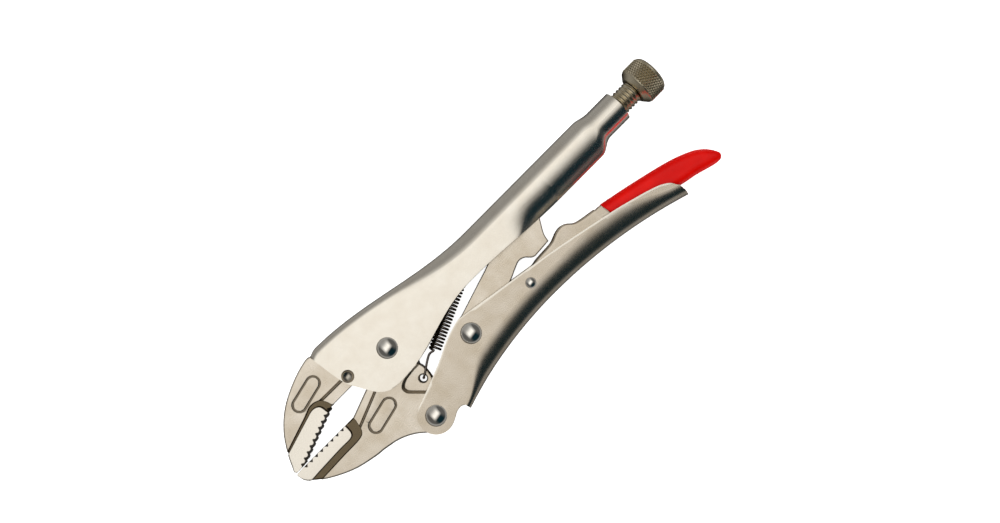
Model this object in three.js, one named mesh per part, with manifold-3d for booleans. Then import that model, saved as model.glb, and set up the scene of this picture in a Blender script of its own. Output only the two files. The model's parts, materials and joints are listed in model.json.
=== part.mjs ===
// Locking pliers with curved jaws, 250 mm class, locked with the jaws closed.
// Millimetres. X runs along the adjusting screw to the knob, Y across the two handles and
// Z through the thickness, so that the pliers lie on their side. Every place is measured from
// the axis of the jaw pivot, at mid thickness. The last lines move the origin to the middle of
// the base of the whole tool.
import * as THREE from 'three';
import { mergeVertices } from 'three/addons/utils/BufferGeometryUtils.js';
import Module from 'manifold-3d';

const wasm = await Module();
wasm.setup();

// ---- Driving dimensions ----

// Clearances
const GAP = 0.3; // between two pieces that only touch
const SEAT_GAP = 0.1; // under a rivet head
const HOLE_GAP = 0.15; // round a rivet shank
const BACK_GAP = 1; // from the lever to the link that it pushes

// Pivots
const JAW_PIVOT = [0, 0];
const HANDLE_PIVOT = [-6.1, -37.1];
const LINK_PIVOT = [31.4, -22.1];
const LEVER_PIVOT = [66.5, -25.2];
const NOSE = [98, 3.4]; // centre of the round end of the link, on the screw's axis
const NOSE_RADIUS = 3.8;
const NOSE_PLAY = 2.1; // from the end of the link to the screw

// Forged pieces
const JAW_THICK = 11;
const LINK_THICK = 7;
const EAR_THICK = 4;
const JAW_REACH = 70.4; // from the jaw pivot to the tips
const JAW_TIP_Y = -11.1; // where the tips meet
const TANG_END_X = 14; // rear end of the fixed jaw, inside the handle
const TOOTH_PITCH = 3;
const TOOTH_DEPTH = 1;
const TOOTH_NOTCH = 1.9; // width of the notch at the mouth
const FIXED_TOOTH_SLOPE = THREE.MathUtils.degToRad(20);
const THROAT_Y = -0.5; // underside of the fixed jaw behind its teeth
const HUB_RADIUS = 12.5; // of the movable jaw, round the jaw pivot
const FIXED_TOOTH_FROM = 4.1; // from the tip of the fixed jaw to its teeth
const MOVABLE_TOOTH_FROM = 4.5;
const CUTTER_FROM_X = -39.5; // where the teeth end and the wire cutter starts
const HEEL_FROM_X = -20.1; // where the cutter of the movable jaw ends
const HEEL_Y = -6.2;
const GROOVE_DEPTH = 1.2;
const CUTTER_GROOVE = 1; // width of the line beside each wire cutter
const LINK_EYE_RADIUS = 7.6;
const SPRING_HOLE = [0.7, -21.4];
const SPRING_HOLE_RADIUS = 1.7;

// Sheet steel of the handles
const SHEET = 2.2;
const CREST_Y = 23.4; // back of the upper handle over the jaw
const TUBE_TOP_Y = 12.3;
const TUBE_BOTTOM_Y = -7.9;
const CHEEK_BOTTOM_Y = -15.1; // lowest point of the cheeks round the jaw pivot
const WAIST_Y = -5.3; // rim of the upper handle at its lowest height
const CREST_BEND = 3.2; // outer radius of the bend over the jaw
const TUBE_BEND = 6;
const CHEEK_FRONT_X = -27.3;
const TUBE_LEVEL_X = 62; // where the back of the handle comes level
const TUBE_FROM_X = 76; // where the rims start to roll in
const ROLL_LENGTH = 16;
const SLIT_FROM_X = 101; // where the rolled rims close up behind the link
const CLOSING_LENGTH = 5;
const HANDLE_END_X = 152.3;
const NECK_LENGTH = 12.3;
const NECK_TAPER = 9;
const NECK_WALL = 2.1;
const SLIT = 1; // seam along the closed tube

// Lower handle
const LOWER_FRONT_RADIUS = 8.6;
const WEB_FROM_X = 7.1;
const WEB_CREST = [70, -36.5]; // flattest point of its back
const WEB_ARC_FRONT = 213; // radius of the back in front of that point
const WEB_ARC_REAR = 254;
const WEB_BEND_FRONT = 3; // outer radius of its bends at the front
const WEB_BEND = 6;
const LOWER_END_X = 146;

// Release lever
const LEVER_SHEET = 1.5;
const LEVER_SIDE_GAP = 0.45;
const LEVER_EYE_RADIUS = 4.6;
const LEVER_FLANGE_END_X = 110.3;
const TONGUE_WIDTH = 6;
const TONGUE_END_X = 140;
const GRIP_FROM_X = 114;
const GRIP_END_X = 169.5;
const GRIP_ROUND = 1.6;

// Screw and knob
const SCREW_RADIUS = 5.55;
const SCREW_SHOWN = 10; // from the neck to the knob
const KNOB_LENGTH = 12.4;
const KNOB_RADIUS = 9.75;
const KNOB_CHAMFER = 2.4;

// Rivets
const RIVET_SHANK = 3.2;
const RIVET_HEAD = 4.9;
const SMALL_SHANK = 1.6;
const SMALL_HEAD = 2.5;
const HEAD_HEIGHT = 2.4;
const SMALL_HEAD_HEIGHT = 1.3;

// Spring
const COIL_RADIUS = 3;
const WIRE_RADIUS = 0.5;
const COIL_FRONT = [13.2, -15.7];
const ANCHOR = [50, 0.4];
const ANCHOR_RADIUS = 1.5;

// ---- Sizes that follow from these ----

const CHANNEL = JAW_THICK / 2 + GAP; // half the space between the cheeks
const OUTER = CHANNEL + SHEET;
const LEVER_HALF = CHANNEL - LEVER_SIDE_GAP;
const NECK_RADIUS = SCREW_RADIUS + NECK_WALL;
const SCREW_TIP_X = NOSE[0] + NOSE_RADIUS + NOSE_PLAY;
const KNOB_FROM_X = HANDLE_END_X + SCREW_SHOWN;
const SLIT_HALF = LINK_THICK / 2 + 2 * GAP;
const TANG_RADIUS = HUB_RADIUS + 2 * GAP;
const JAW_FACE = JAW_THICK / 2;
const LEVER_TOP = -18.3 - BACK_GAP; // under the hump of the link
const DEEP = 4 * OUTER; // longer than any piece is thick
const RIM_LAND = 0.3; // least flat stretch between two bends of the sheet
const STRAIGHT = THREE.MathUtils.degToRad(5); // roll of a rim that is left flat

// ---- Shared tools ----

// Goes smoothly from the value a at x0 to b at x1, and stays level outside them.
const ease = (x, x0, x1, a, b) => {
  const t = THREE.MathUtils.clamp((x - x0) / (x1 - x0), 0, 1);
  return a + (b - a) * (0.5 - 0.5 * Math.cos(Math.PI * t));
};

const steps = (from, to, count) =>
  Array.from({ length: count + 1 }, (_, i) => from + ((to - from) * i) / count);

const vectors = (points) => points.map(([x, y]) => new THREE.Vector2(x, y));

// A closed outline from straight and smooth stretches. A stretch of two or more points given as
// { through: [...] } is a smooth curve, and a plain point is a corner.
function outline(...stretches) {
  const points = [];
  for (const stretch of stretches) {
    if (stretch.through) {
      const curve = new THREE.SplineCurve(vectors(stretch.through));
      points.push(...curve.getPoints(stretch.through.length * 4));
    } else if (stretch.arc) {
      const [x, y, radius, from, to] = stretch.arc;
      for (const degrees of steps(from, to, Math.ceil(Math.abs(to - from) / 15))) {
        const angle = THREE.MathUtils.degToRad(degrees);
        points.push(new THREE.Vector2(x + radius * Math.cos(angle), y + radius * Math.sin(angle)));
      }
    } else {
      points.push(...vectors([stretch]));
    }
  }
  return new THREE.Shape(points);
}

function solid(geometry) {
  const bare = geometry.clone();
  bare.deleteAttribute('normal');
  bare.deleteAttribute('uv');
  const merged = mergeVertices(bare, 1e-4);
  return new wasm.Manifold(new wasm.Mesh({
    numProp: 3,
    vertProperties: Float32Array.from(merged.attributes.position.array),
    triVerts: Uint32Array.from(merged.index.array),
  }));
}

// The outline as a plate from z = low to z = high.
function plate(shape, low, high) {
  const depth = high - low;
  const geometry = new THREE.ExtrudeGeometry(shape, { depth, bevelEnabled: false, curveSegments: 12 });
  return solid(geometry.translate(0, 0, low));
}

const bothSides = (shape, inner, outer) =>
  plate(shape, inner, outer).add(plate(shape, -outer, -inner));

function disc([x, y], radius, height, segments = 24) {
  const geometry = new THREE.CylinderGeometry(radius, radius, height, segments);
  return solid(geometry.rotateX(Math.PI / 2).translate(x, y, 0));
}

// A turned piece about the line through y parallel to X. The profile is [x, radius] pairs.
function turned(profile, y, segments = 32) {
  const points = profile.map(([x, radius]) => new THREE.Vector2(radius, x));
  const geometry = new THREE.LatheGeometry(points, segments);
  return solid(geometry.rotateZ(-Math.PI / 2).translate(0, y, 0));
}

// One row of teeth along a line, as corners of an outline: flat crests with V notches between.
// side is +1 if the jaw lies to the left of the line's direction, and -1 if to its right.
function teeth([x, y], angle, length, side) {
  const corners = [];
  const count = Math.floor(length / TOOTH_PITCH);
  for (let i = 0; i < count; i += 1) {
    const middle = (i + 0.5) * (length / count);
    const at = [[middle - TOOTH_NOTCH / 2, 0], [middle, TOOTH_DEPTH], [middle + TOOTH_NOTCH / 2, 0]];
    for (const [along, deep] of at) {
      corners.push([
        x + along * Math.cos(angle) - side * deep * Math.sin(angle),
        y + along * Math.sin(angle) + side * deep * Math.cos(angle),
      ]);
    }
  }
  return corners;
}

// ---- Bent sheet ----

// Half a channel's section, from the rim to the middle of its back, at depth d under the outer
// face. curl is the angle that the rim is rolled in by, and lap how far it goes on from there.
function halfSection({ half, crown, crownBend, rim, rimBend, curl, lap }, d) {
  const centre = rim + rimBend * Math.sin(curl) + lap * Math.cos(curl);
  const roll = steps(-curl, 0, 4).map((a) => [
    half - rimBend + (rimBend - d) * Math.cos(a),
    centre + (rimBend - d) * Math.sin(a),
  ]);
  const end = [roll[0][0] - lap * Math.sin(curl), roll[0][1] - lap * Math.cos(curl)];
  const bend = steps(0, Math.PI / 2, 4).map((a) => [
    half - crownBend + (crownBend - d) * Math.cos(a),
    crown - crownBend + (crownBend - d) * Math.sin(a),
  ]);
  return [end, ...roll, ...bend];
}

// The sheet between a channel's outer and inner faces, through one section at each x. up is 1
// for a back on top, and -1 for a back underneath, with the section's heights turned over.
function bentSheet(stations, sectionAt, up) {
  const wholeSection = (x, d) => {
    const right = halfSection(sectionAt(x), d);
    const left = right.map(([z, y]) => [-z, y]).reverse();
    return [...right, ...left].map(([z, y]) => [x, up * y, z]);
  };
  const rings = stations.flatMap((x) => [wholeSection(x, 0), wholeSection(x, SHEET)]);
  const positions = rings.flat(2);
  const n = rings[0].length;
  const index = [];
  const quad = (a, b, c, e) => {
    const corners = up > 0 ? [a, b, c, a, c, e] : [a, c, b, a, e, c];
    index.push(...corners);
  };
  const last = (stations.length - 1) * 2 * n;
  for (let s = 0; s < stations.length - 1; s += 1) {
    const here = s * 2 * n;
    const next = here + 2 * n;
    for (let i = 0; i < n - 1; i += 1) {
      quad(here + i, next + i, next + i + 1, here + i + 1);
      quad(here + n + i, here + n + i + 1, next + n + i + 1, next + n + i);
    }
    quad(here, here + n, next + n, next);
    quad(here + n - 1, next + n - 1, next + 2 * n - 1, here + 2 * n - 1);
  }
  for (let i = 0; i < n - 1; i += 1) {
    quad(i, i + 1, n + i + 1, n + i);
    quad(last + i, last + n + i, last + n + i + 1, last + i + 1);
  }
  const geometry = new THREE.BufferGeometry();
  geometry.setAttribute('position', new THREE.Float32BufferAttribute(positions, 3));
  geometry.setIndex(index);
  return solid(geometry);
}

// ---- Upper handle ----

const NECK_FROM_X = HANDLE_END_X - NECK_LENGTH;
const TAPER_FROM_X = NECK_FROM_X - NECK_TAPER;

const backY = (x) => ease(x, -25, TUBE_LEVEL_X, CREST_Y, TUBE_TOP_Y);
const rimY = (x) =>
  ease(x, -6, 47, CHEEK_BOTTOM_Y, WAIST_Y) + ease(x, 50, 104, 0, TUBE_BOTTOM_Y - WAIST_Y);

// Roll of a rim whose inner edge ends at a distance reach from the middle plane.
const rollTo = (reach, half, bend) =>
  Math.acos(THREE.MathUtils.clamp((reach - half + bend) / (bend - SHEET), 0, 1));

function upperSection(x) {
  const neck = (tube, round) => ease(x, TAPER_FROM_X, NECK_FROM_X, tube, round);
  const closedFromX = SLIT_FROM_X + CLOSING_LENGTH;
  const closing = (open, closed) => ease(x, SLIT_FROM_X, closedFromX, open, closed);
  const half = neck(OUTER, NECK_RADIUS);
  const rimBend = Math.min(neck(TUBE_BEND, NECK_RADIUS), half);
  const crownBend = ease(x, TANG_END_X, TUBE_LEVEL_X, CREST_BEND, TUBE_BEND);
  const linkRoll = rollTo(SLIT_HALF, half, rimBend);
  const rolled = ease(x, TUBE_FROM_X, TUBE_FROM_X + ROLL_LENGTH, STRAIGHT, linkRoll);
  return {
    half,
    crown: neck(backY(x), NOSE[1] + NECK_RADIUS),
    crownBend: Math.min(neck(crownBend, NECK_RADIUS), half - RIM_LAND),
    rim: neck(rimY(x), NOSE[1] - NECK_RADIUS),
    rimBend,
    curl: closing(rolled, rollTo(SLIT / 2 + RIM_LAND, half, rimBend)),
    lap: closing(RIM_LAND, Math.max(half - rimBend - SLIT / 2, RIM_LAND)),
  };
}

// What is cut away in front of the cheeks and under their front corner.
function cheekFrontWaste() {
  return outline(
    [CHEEK_FRONT_X, CREST_Y + 5],
    { through: [[CHEEK_FRONT_X, CREST_Y], [-26.9, 16.5], [-25.6, 7], [-23.9, 0.7]] },
    { through: [[-19.4, -7.3], [-16.7, -11.3], [-12.6, -14.2], [-7, CHEEK_BOTTOM_Y]] },
    [-7, CHEEK_BOTTOM_Y - 5],
    [CHEEK_FRONT_X - 10, CHEEK_BOTTOM_Y - 5],
    [CHEEK_FRONT_X - 10, CREST_Y + 5],
  );
}

function upperHandle() {
  const front = steps(CHEEK_FRONT_X - 2, TUBE_FROM_X, 16);
  const curling = steps(TUBE_FROM_X + 4, TUBE_FROM_X + ROLL_LENGTH, 3);
  const closing = steps(SLIT_FROM_X, SLIT_FROM_X + CLOSING_LENGTH, 2);
  const taper = steps(TAPER_FROM_X, NECK_FROM_X, 4);
  const stations = [...front, ...curling, ...closing, ...taper, HANDLE_END_X];
  stations.sort((a, b) => a - b);
  const behind = HANDLE_END_X + 1;
  const screwRoom = SCREW_RADIUS + HOLE_GAP;
  const neckBore = SCREW_RADIUS + GAP;
  const bore = turned([
    [SCREW_TIP_X - GAP, 0], [SCREW_TIP_X - GAP, screwRoom], [TAPER_FROM_X, screwRoom],
    [TAPER_FROM_X, neckBore], [behind, neckBore], [behind, 0],
  ], NOSE[1]);
  return bentSheet(stations, upperSection, 1)
    .subtract(plate(cheekFrontWaste(), -DEEP, DEEP))
    .subtract(disc(JAW_PIVOT, RIVET_SHANK + HOLE_GAP, DEEP))
    .subtract(bore);
}

// ---- Jaws ----

// The fixed jaw fills the space over the hub of the movable jaw, up to the back of the handle.
function fixedJaw() {
  const toothFrom = [-JAW_REACH + FIXED_TOOTH_FROM, JAW_TIP_Y + GAP / 2];
  const toothLength = (THROAT_Y - toothFrom[1]) / Math.sin(FIXED_TOOTH_SLOPE);
  const tang = (x) => backY(x) - SHEET - 2 * GAP;
  const throatAngle = THREE.MathUtils.radToDeg(Math.asin(THROAT_Y / TANG_RADIUS));
  const toothEndX = toothFrom[0] + toothLength * Math.cos(FIXED_TOOTH_SLOPE);
  const shape = outline(
    [-JAW_REACH + 0.8, toothFrom[1]],
    toothFrom,
    ...teeth(toothFrom, FIXED_TOOTH_SLOPE, toothLength, 1),
    [toothEndX, THROAT_Y],
    { arc: [...JAW_PIVOT, TANG_RADIUS, 180 - throatAngle, 50] },
    { through: [TANG_END_X, 4, -6, -16, CHEEK_FRONT_X - GAP].map((x) => [x, tang(x)]) },
    [CHEEK_FRONT_X - GAP, 22.2],
    {
      through: [
        [-31.1, 22.6], [-40.7, 19.9], [-52.1, 14.3], [-JAW_REACH + 9.7, 6.8],
        [-JAW_REACH + 3.6, -2.1], [-JAW_REACH, JAW_TIP_Y + 1.5],
      ],
    },
  );
  const landEnd = toothEndX - 2.5;
  const groove = outline(
    [-JAW_REACH - 1, -3.4],
    {
      through: [
        [-JAW_REACH + 3.6, -2.2], [landEnd - 9.9, 2.9], [landEnd - 4.3, 4.3],
        [landEnd - 0.9, 3], [landEnd, -0.8],
      ],
    },
    [landEnd, -4],
    [landEnd + 4, THROAT_Y - 1],
    {
      through: [
        [landEnd + 3.7, THROAT_Y], [landEnd + 2.8, 2.4], [landEnd + 0.6, 5.3],
        [landEnd - 4, 6.2], [landEnd - 9.9, 4.1], [-JAW_REACH + 3.6, -1.4],
      ],
    },
    [-JAW_REACH - 1, -2.6],
  );
  const cutterLine = outline(
    [landEnd + 2.5, 4.5 - CUTTER_GROOVE / 2],
    [CHEEK_FRONT_X + 4, 4.5 - CUTTER_GROOVE / 2],
    [CHEEK_FRONT_X + 4, 4.5 + CUTTER_GROOVE / 2],
    [landEnd + 2.5, 4.5 + CUTTER_GROOVE / 2],
  );
  return plate(shape, -JAW_FACE, JAW_FACE)
    .subtract(bothSides(groove, JAW_FACE - GROOVE_DEPTH, JAW_FACE + 1))
    .subtract(bothSides(cutterLine, JAW_FACE - GROOVE_DEPTH, JAW_FACE + 1));
}

// The movable jaw turns on the jaw pivot and carries the front ends of the lower handle. Its ear
// is thinner than the rest, and the spring hooks into a hole in it.
function movableJaw() {
  const top = JAW_TIP_Y - GAP / 2;
  const toothFrom = [-JAW_REACH + MOVABLE_TOOTH_FROM, top];
  const toothLength = CUTTER_FROM_X - toothFrom[0];
  const landEnd = toothFrom[0] + toothLength + 0.6;
  const shape = outline(
    [-JAW_REACH + 0.7, top],
    ...teeth(toothFrom, 0, toothLength, -1),
    [landEnd + 5, top],
    [HEEL_FROM_X, HEEL_Y],
    { arc: [...JAW_PIVOT, HUB_RADIUS, 195.3, -65] },
    { through: [[4.2, -15], [4.9, -17.9], [4.6, -22.1], [3.4, -28], [1.6, -33.5]] },
    { arc: [...HANDLE_PIVOT, LOWER_FRONT_RADIUS - GAP, 10, -125] },
    { through: [[-14.3, -40.7], [-19.5, -36.4], [-26, -33.3], [-33.6, -31.7]] },
    {
      through: [
        [-39.3, -31], [-50, -28.4], [-JAW_REACH + 9.7, -23.2], [-JAW_REACH + 1.6, -16.9],
        [-JAW_REACH, top - 0.8],
      ],
    },
  );
  const groove = outline(
    {
      through: [
        [-JAW_REACH - 1, -18.1], [landEnd - 11.1, -17.2], [landEnd - 2.6, -17.1],
        [landEnd - 0.4, -15.6], [landEnd, -13],
      ],
    },
    [landEnd, top + 1],
    [landEnd + 5.1, top + 1],
    {
      through: [
        [landEnd + 5, -13], [landEnd + 3.6, -18.2], [landEnd, -20.1],
        [landEnd - 11.1, -20.4], [-JAW_REACH - 1, -21.2],
      ],
    },
  );
  const cutterLine = outline([-33.9, -16.6], [-12, -8], [-12, -7], [-33.9, -15.6]);
  const earRecess = outline(
    { through: [[-0.7, -14.9], [-5.4, -16], [-8.3, -17.8], [-8.4, -20.2], [-7.4, -21.6]] },
    [-2.5, -26.6],
    [8, -26.6],
    [8, -14.9],
  );
  return plate(shape, -JAW_FACE, JAW_FACE)
    .subtract(bothSides(groove, JAW_FACE - GROOVE_DEPTH, JAW_FACE + 1))
    .subtract(bothSides(cutterLine, JAW_FACE - GROOVE_DEPTH, JAW_FACE + 1))
    .subtract(bothSides(earRecess, EAR_THICK / 2, JAW_FACE + 1))
    .subtract(disc(SPRING_HOLE, SPRING_HOLE_RADIUS, DEEP, 16))
    .subtract(disc(JAW_PIVOT, RIVET_SHANK + HOLE_GAP, DEEP))
    .subtract(disc(HANDLE_PIVOT, RIVET_SHANK + HOLE_GAP, DEEP));
}

// ---- Lower handle ----

// Height of the back of the lower handle: two arcs that meet level at its flattest point.
function webY(x) {
  const along = x - WEB_CREST[0];
  const radius = along < 0 ? WEB_ARC_FRONT : WEB_ARC_REAR;
  return WEB_CREST[1] - (radius - Math.sqrt(radius * radius - along * along));
}

// Its section, turned over: the back is the crown, and the cheeks run on past their rims, which
// the side view then cuts.
function lowerSection(x) {
  return {
    half: OUTER,
    crown: -webY(x),
    crownBend: Math.min(ease(x, WEB_FROM_X, 30, WEB_BEND_FRONT, WEB_BEND), OUTER - RIM_LAND),
    rim: 8,
    rimBend: SHEET + 1,
    curl: STRAIGHT,
    lap: RIM_LAND,
  };
}

function lowerHandle() {
  const [bx, by] = HANDLE_PIVOT;
  const end = LOWER_END_X;
  const side = outline(
    { arc: [bx, by, LOWER_FRONT_RADIUS, 300, 110] },
    { through: [[-2.5, -26.7], [10.7, -21.6], [21, -16.8], [30, -13.9], [33.5, -13.8]] },
    { through: [[50, -16.6], [84, -22.2], [115, -28.6], [end - 14.3, -33]] },
    {
      through: [
        [end - 7.7, -35.2], [end - 4.3, -37.3], [end - 2, -40.4], [end - 0.6, -43.6],
        [end, webY(end)],
      ],
    },
    [end, webY(end) - 5],
    [WEB_FROM_X, webY(WEB_FROM_X) - 5],
    [WEB_FROM_X, webY(WEB_FROM_X) + 0.4],
    { through: [[6, -43.4], [3.5, -42.1], [0.8, -43.1]] },
  );
  const stations = [...steps(WEB_FROM_X, 30, 4), ...steps(40, end, 12)];
  const joined = WEB_FROM_X + 0.5;
  const cheek = outline(
    [bx - 12, by - 12], [WEB_FROM_X - 1, by - 12], [WEB_FROM_X - 1, webY(joined) + 1],
    [joined, webY(joined) + 1], [joined, -8], [bx - 12, -8],
  );
  return bentSheet(stations, lowerSection, -1)
    .add(bothSides(cheek, CHANNEL, OUTER))
    .intersect(plate(side, -DEEP, DEEP))
    .subtract(disc(HANDLE_PIVOT, RIVET_SHANK + HOLE_GAP, DEEP))
    .subtract(disc(LINK_PIVOT, RIVET_SHANK + HOLE_GAP, DEEP))
    .subtract(disc(LEVER_PIVOT, SMALL_SHANK + HOLE_GAP, DEEP));
}

// ---- Toggle link ----

// One flat forging: an eye, a shank with a hump under it for the lever, and a round nose.
function toggleLink() {
  const [nx, ny] = NOSE;
  const shape = outline(
    { arc: [...LINK_PIVOT, LINK_EYE_RADIUS, 290, 112] },
    [nx - 42, ny - 9.8],
    { through: [[nx - 14, ny + 1.2], [nx - 7, ny + 3.4], [nx, ny + NOSE_RADIUS]] },
    { arc: [nx, ny, NOSE_RADIUS, 75, -90] },
    {
      through: [
        [nx - 4.5, ny - 6], [nx - 9, ny - 13.2], [nx - 11.4, ny - 17.5], [nx - 12.2, -17.7],
      ],
    },
    [76.6, -18.3],
    { through: [[75, -17.6], [72.7, -15.4], [69.8, -14.6], [66.3, -15.8], [61.9, -17.8]] },
  );
  return plate(shape, -LINK_THICK / 2, LINK_THICK / 2)
    .subtract(disc(LINK_PIVOT, RIVET_SHANK + HOLE_GAP, DEEP));
}

// ---- Release lever ----

// A pressed channel, closed on top, that turns in the lower handle. Its tongue holds the grip.
function releaseLever() {
  const [dx, dy] = LEVER_PIVOT;
  const end = LEVER_FLANGE_END_X;
  const top = [
    [dx + 9, LEVER_TOP - 0.3], [dx + 19, LEVER_TOP + 0.3], [dx + 24.2, -17.2], [dx + 27.5, -16.7],
    [dx + 30.2, -17.6], [dx + 33, -19.9], [dx + 37, -21.1], [end, -22.2],
  ];
  const bottom = [[end, -29], [dx + 30, -29.6]];
  const inside = top.map(([x, y]) => [x, y - LEVER_SHEET]);
  const eye = [...LEVER_PIVOT, LEVER_EYE_RADIUS, 270, 110];
  const flanges = outline({ arc: eye }, { through: top }, ...bottom);
  const hollow = outline(
    [dx - 8, dy - 8], [dx - 8, LEVER_TOP - 0.3 - LEVER_SHEET],
    { through: inside },
    [end + 1, -22.2 - LEVER_SHEET], [end + 1, dy - 8],
  );
  const tongue = outline(
    [end - 4, -22.4], [TONGUE_END_X, -29.2], [TONGUE_END_X, -33], [end - 4, -27],
  );
  return plate(flanges, -LEVER_HALF, LEVER_HALF)
    .subtract(plate(hollow, -LEVER_HALF + LEVER_SHEET, LEVER_HALF - LEVER_SHEET))
    .add(plate(tongue, -TONGUE_WIDTH / 2, TONGUE_WIDTH / 2))
    .subtract(disc(LEVER_PIVOT, SMALL_SHANK + HOLE_GAP, DEEP));
}

// A soft sleeve over the tongue, with its long edges rounded in one step.
function releaseGrip() {
  const from = GRIP_FROM_X;
  const end = GRIP_END_X;
  const outer = (inset) => outline(
    [from, -22.5 - inset],
    {
      through: [
        [from + 17.7, -26.3 - inset], [end - 19.5, -30.8 - inset], [end - 9.2, -34.7 - inset],
        [end - 3 - inset, -38.8], [end - 0.9 - inset, -42.6], [end - inset, -45],
      ],
    },
    {
      through: [
        [end - 1.8, -46.8 + inset], [end - 3.5, -47.2 + inset], [end - 14.5, -44.4 + inset],
        [end - 24.5, -42.2 + inset],
      ],
    },
    [from + 1.5, -33.5 + inset],
  );
  const half = CHANNEL - 2 * GAP;
  const pocket = outline(
    [from - 2, -21.7], [TONGUE_END_X + 1, -28.4], [TONGUE_END_X + 1, -34], [from - 2, -29.6],
  );
  return plate(outer(GRIP_ROUND), -half, half)
    .add(plate(outer(0), -half + GRIP_ROUND, half - GRIP_ROUND))
    .subtract(plate(pocket, -TONGUE_WIDTH / 2 - GAP, TONGUE_WIDTH / 2 + GAP));
}

// ---- Screw, knob, spring and rivets ----

function adjustingScrew() {
  const end = KNOB_FROM_X - GAP;
  return turned([
    [SCREW_TIP_X, 0], [SCREW_TIP_X, SCREW_RADIUS - 1], [SCREW_TIP_X + 1, SCREW_RADIUS],
    [end, SCREW_RADIUS], [end, 0],
  ], NOSE[1]);
}

function adjustingKnob() {
  const from = KNOB_FROM_X;
  const end = from + KNOB_LENGTH;
  return turned([
    [from, 0], [from, KNOB_RADIUS - 3], [from + KNOB_CHAMFER, KNOB_RADIUS - 0.5],
    [from + KNOB_CHAMFER, KNOB_RADIUS], [end - 1.6, KNOB_RADIUS], [end - 0.6, KNOB_RADIUS - 0.8],
    [end, KNOB_RADIUS - 2.2], [end, 0],
  ], NOSE[1]);
}

// A rod along straight stretches between 3-D points, swept as one round bar.
function rod(points, radius, segments) {
  const curve = new THREE.CatmullRomCurve3(points.map((p) => new THREE.Vector3(...p)));
  const corners = steps(0, 2 * Math.PI, 8).slice(0, -1);
  const round = corners.map((a) => [radius * Math.cos(a), radius * Math.sin(a)]);
  const section = new THREE.Shape(vectors(round));
  return solid(new THREE.ExtrudeGeometry(section, { steps: segments, extrudePath: curve }));
}

// The coils as one round bar, with the two hooks.
function jawSpring() {
  const [fx, fy] = COIL_FRONT;
  const [ax, ay] = ANCHOR;
  const angle = Math.atan2(ay - fy, ax - fx);
  const along = [Math.cos(angle), Math.sin(angle)];
  const reach = Math.hypot(ax - fx, ay - fy) - ANCHOR_RADIUS - 3;
  const coil = new THREE.CylinderGeometry(COIL_RADIUS, COIL_RADIUS, reach, 16)
    .rotateZ(angle - Math.PI / 2)
    .translate(fx + (along[0] * reach) / 2, fy + (along[1] * reach) / 2, 0);
  const [hx, hy] = SPRING_HOLE;
  const over = EAR_THICK / 2 + WIRE_RADIUS + GAP;
  const frontHook = rod([
    [fx + along[0], fy + along[1], 0], [fx - 3, fy + 0.9, over * 0.7], [hx + 4, hy + 1.6, over],
    [hx + 1, hy + 0.2, over * 0.9], [hx, hy, 0], [hx, hy, -over],
  ], WIRE_RADIUS, 16);
  const back = reach - 1;
  const hookTop = ANCHOR_RADIUS + WIRE_RADIUS + 2 * GAP;
  const rearHook = rod([
    [fx + along[0] * back, fy + along[1] * back, 0],
    [ax - along[0] * 3 - along[1] * hookTop, ay - along[1] * 3 + along[0] * hookTop, 0],
    [ax - along[1] * hookTop, ay + along[0] * hookTop, 0],
    [ax + (along[0] - along[1]) * 0.8 * hookTop, ay + (along[0] + along[1]) * 0.8 * hookTop, 0],
    [ax + along[0] * hookTop, ay + along[1] * hookTop, 0],
  ], WIRE_RADIUS, 12);
  return solid(coil).add(frontHook).add(rearHook);
}

// A rivet with a head on each side that is part of a ball.
function rivet([x, y], shank, head, height) {
  const seat = OUTER + SEAT_GAP;
  const ball = (head * head + height * height) / (2 * height);
  const centre = seat + height - ball;
  const dome = steps(Math.asin(head / ball), 0, 5).map((a) => [
    ball * Math.sin(a),
    centre + ball * Math.cos(a),
  ]);
  const upper = [[shank, seat], ...dome];
  const profile = [...upper.map(([r, z]) => [r, -z]).reverse(), ...upper];
  const points = profile.map(([r, z]) => new THREE.Vector2(Math.max(r, 0), z));
  points[0].x = 0;
  points.at(-1).x = 0;
  const geometry = new THREE.LatheGeometry(points, 24);
  return solid(geometry.rotateX(Math.PI / 2).translate(x, y, 0));
}

// ---- The assembly ----

const finish = (color, roughness, metalness) =>
  new THREE.MeshStandardMaterial({ color, roughness, metalness });
const nickel = () => finish(0xd8d0c2, 0.35, 1);
const brownNickel = () => finish(0x9a8c70, 0.4, 1);
const springSteel = () => finish(0x2c2a28, 0.45, 1);
const redVinyl = () => finish(0xe0180e, 0.35, 0);

function named(name, body, material) {
  const { vertProperties, triVerts } = body.getMesh();
  const geometry = new THREE.BufferGeometry();
  geometry.setAttribute('position', new THREE.BufferAttribute(Float32Array.from(vertProperties), 3));
  geometry.setIndex(new THREE.BufferAttribute(Uint32Array.from(triVerts), 1));
  geometry.computeVertexNormals();
  const mesh = new THREE.Mesh(geometry, material);
  mesh.name = name;
  return mesh;
}

const bigRivet = (pivot) => rivet(pivot, RIVET_SHANK, RIVET_HEAD, HEAD_HEIGHT);
const smallRivet = (pivot) => rivet(pivot, SMALL_SHANK, SMALL_HEAD, SMALL_HEAD_HEIGHT);
const anchorPin = () => disc(ANCHOR, ANCHOR_RADIUS, 2 * (CHANNEL - GAP), 16);

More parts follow.
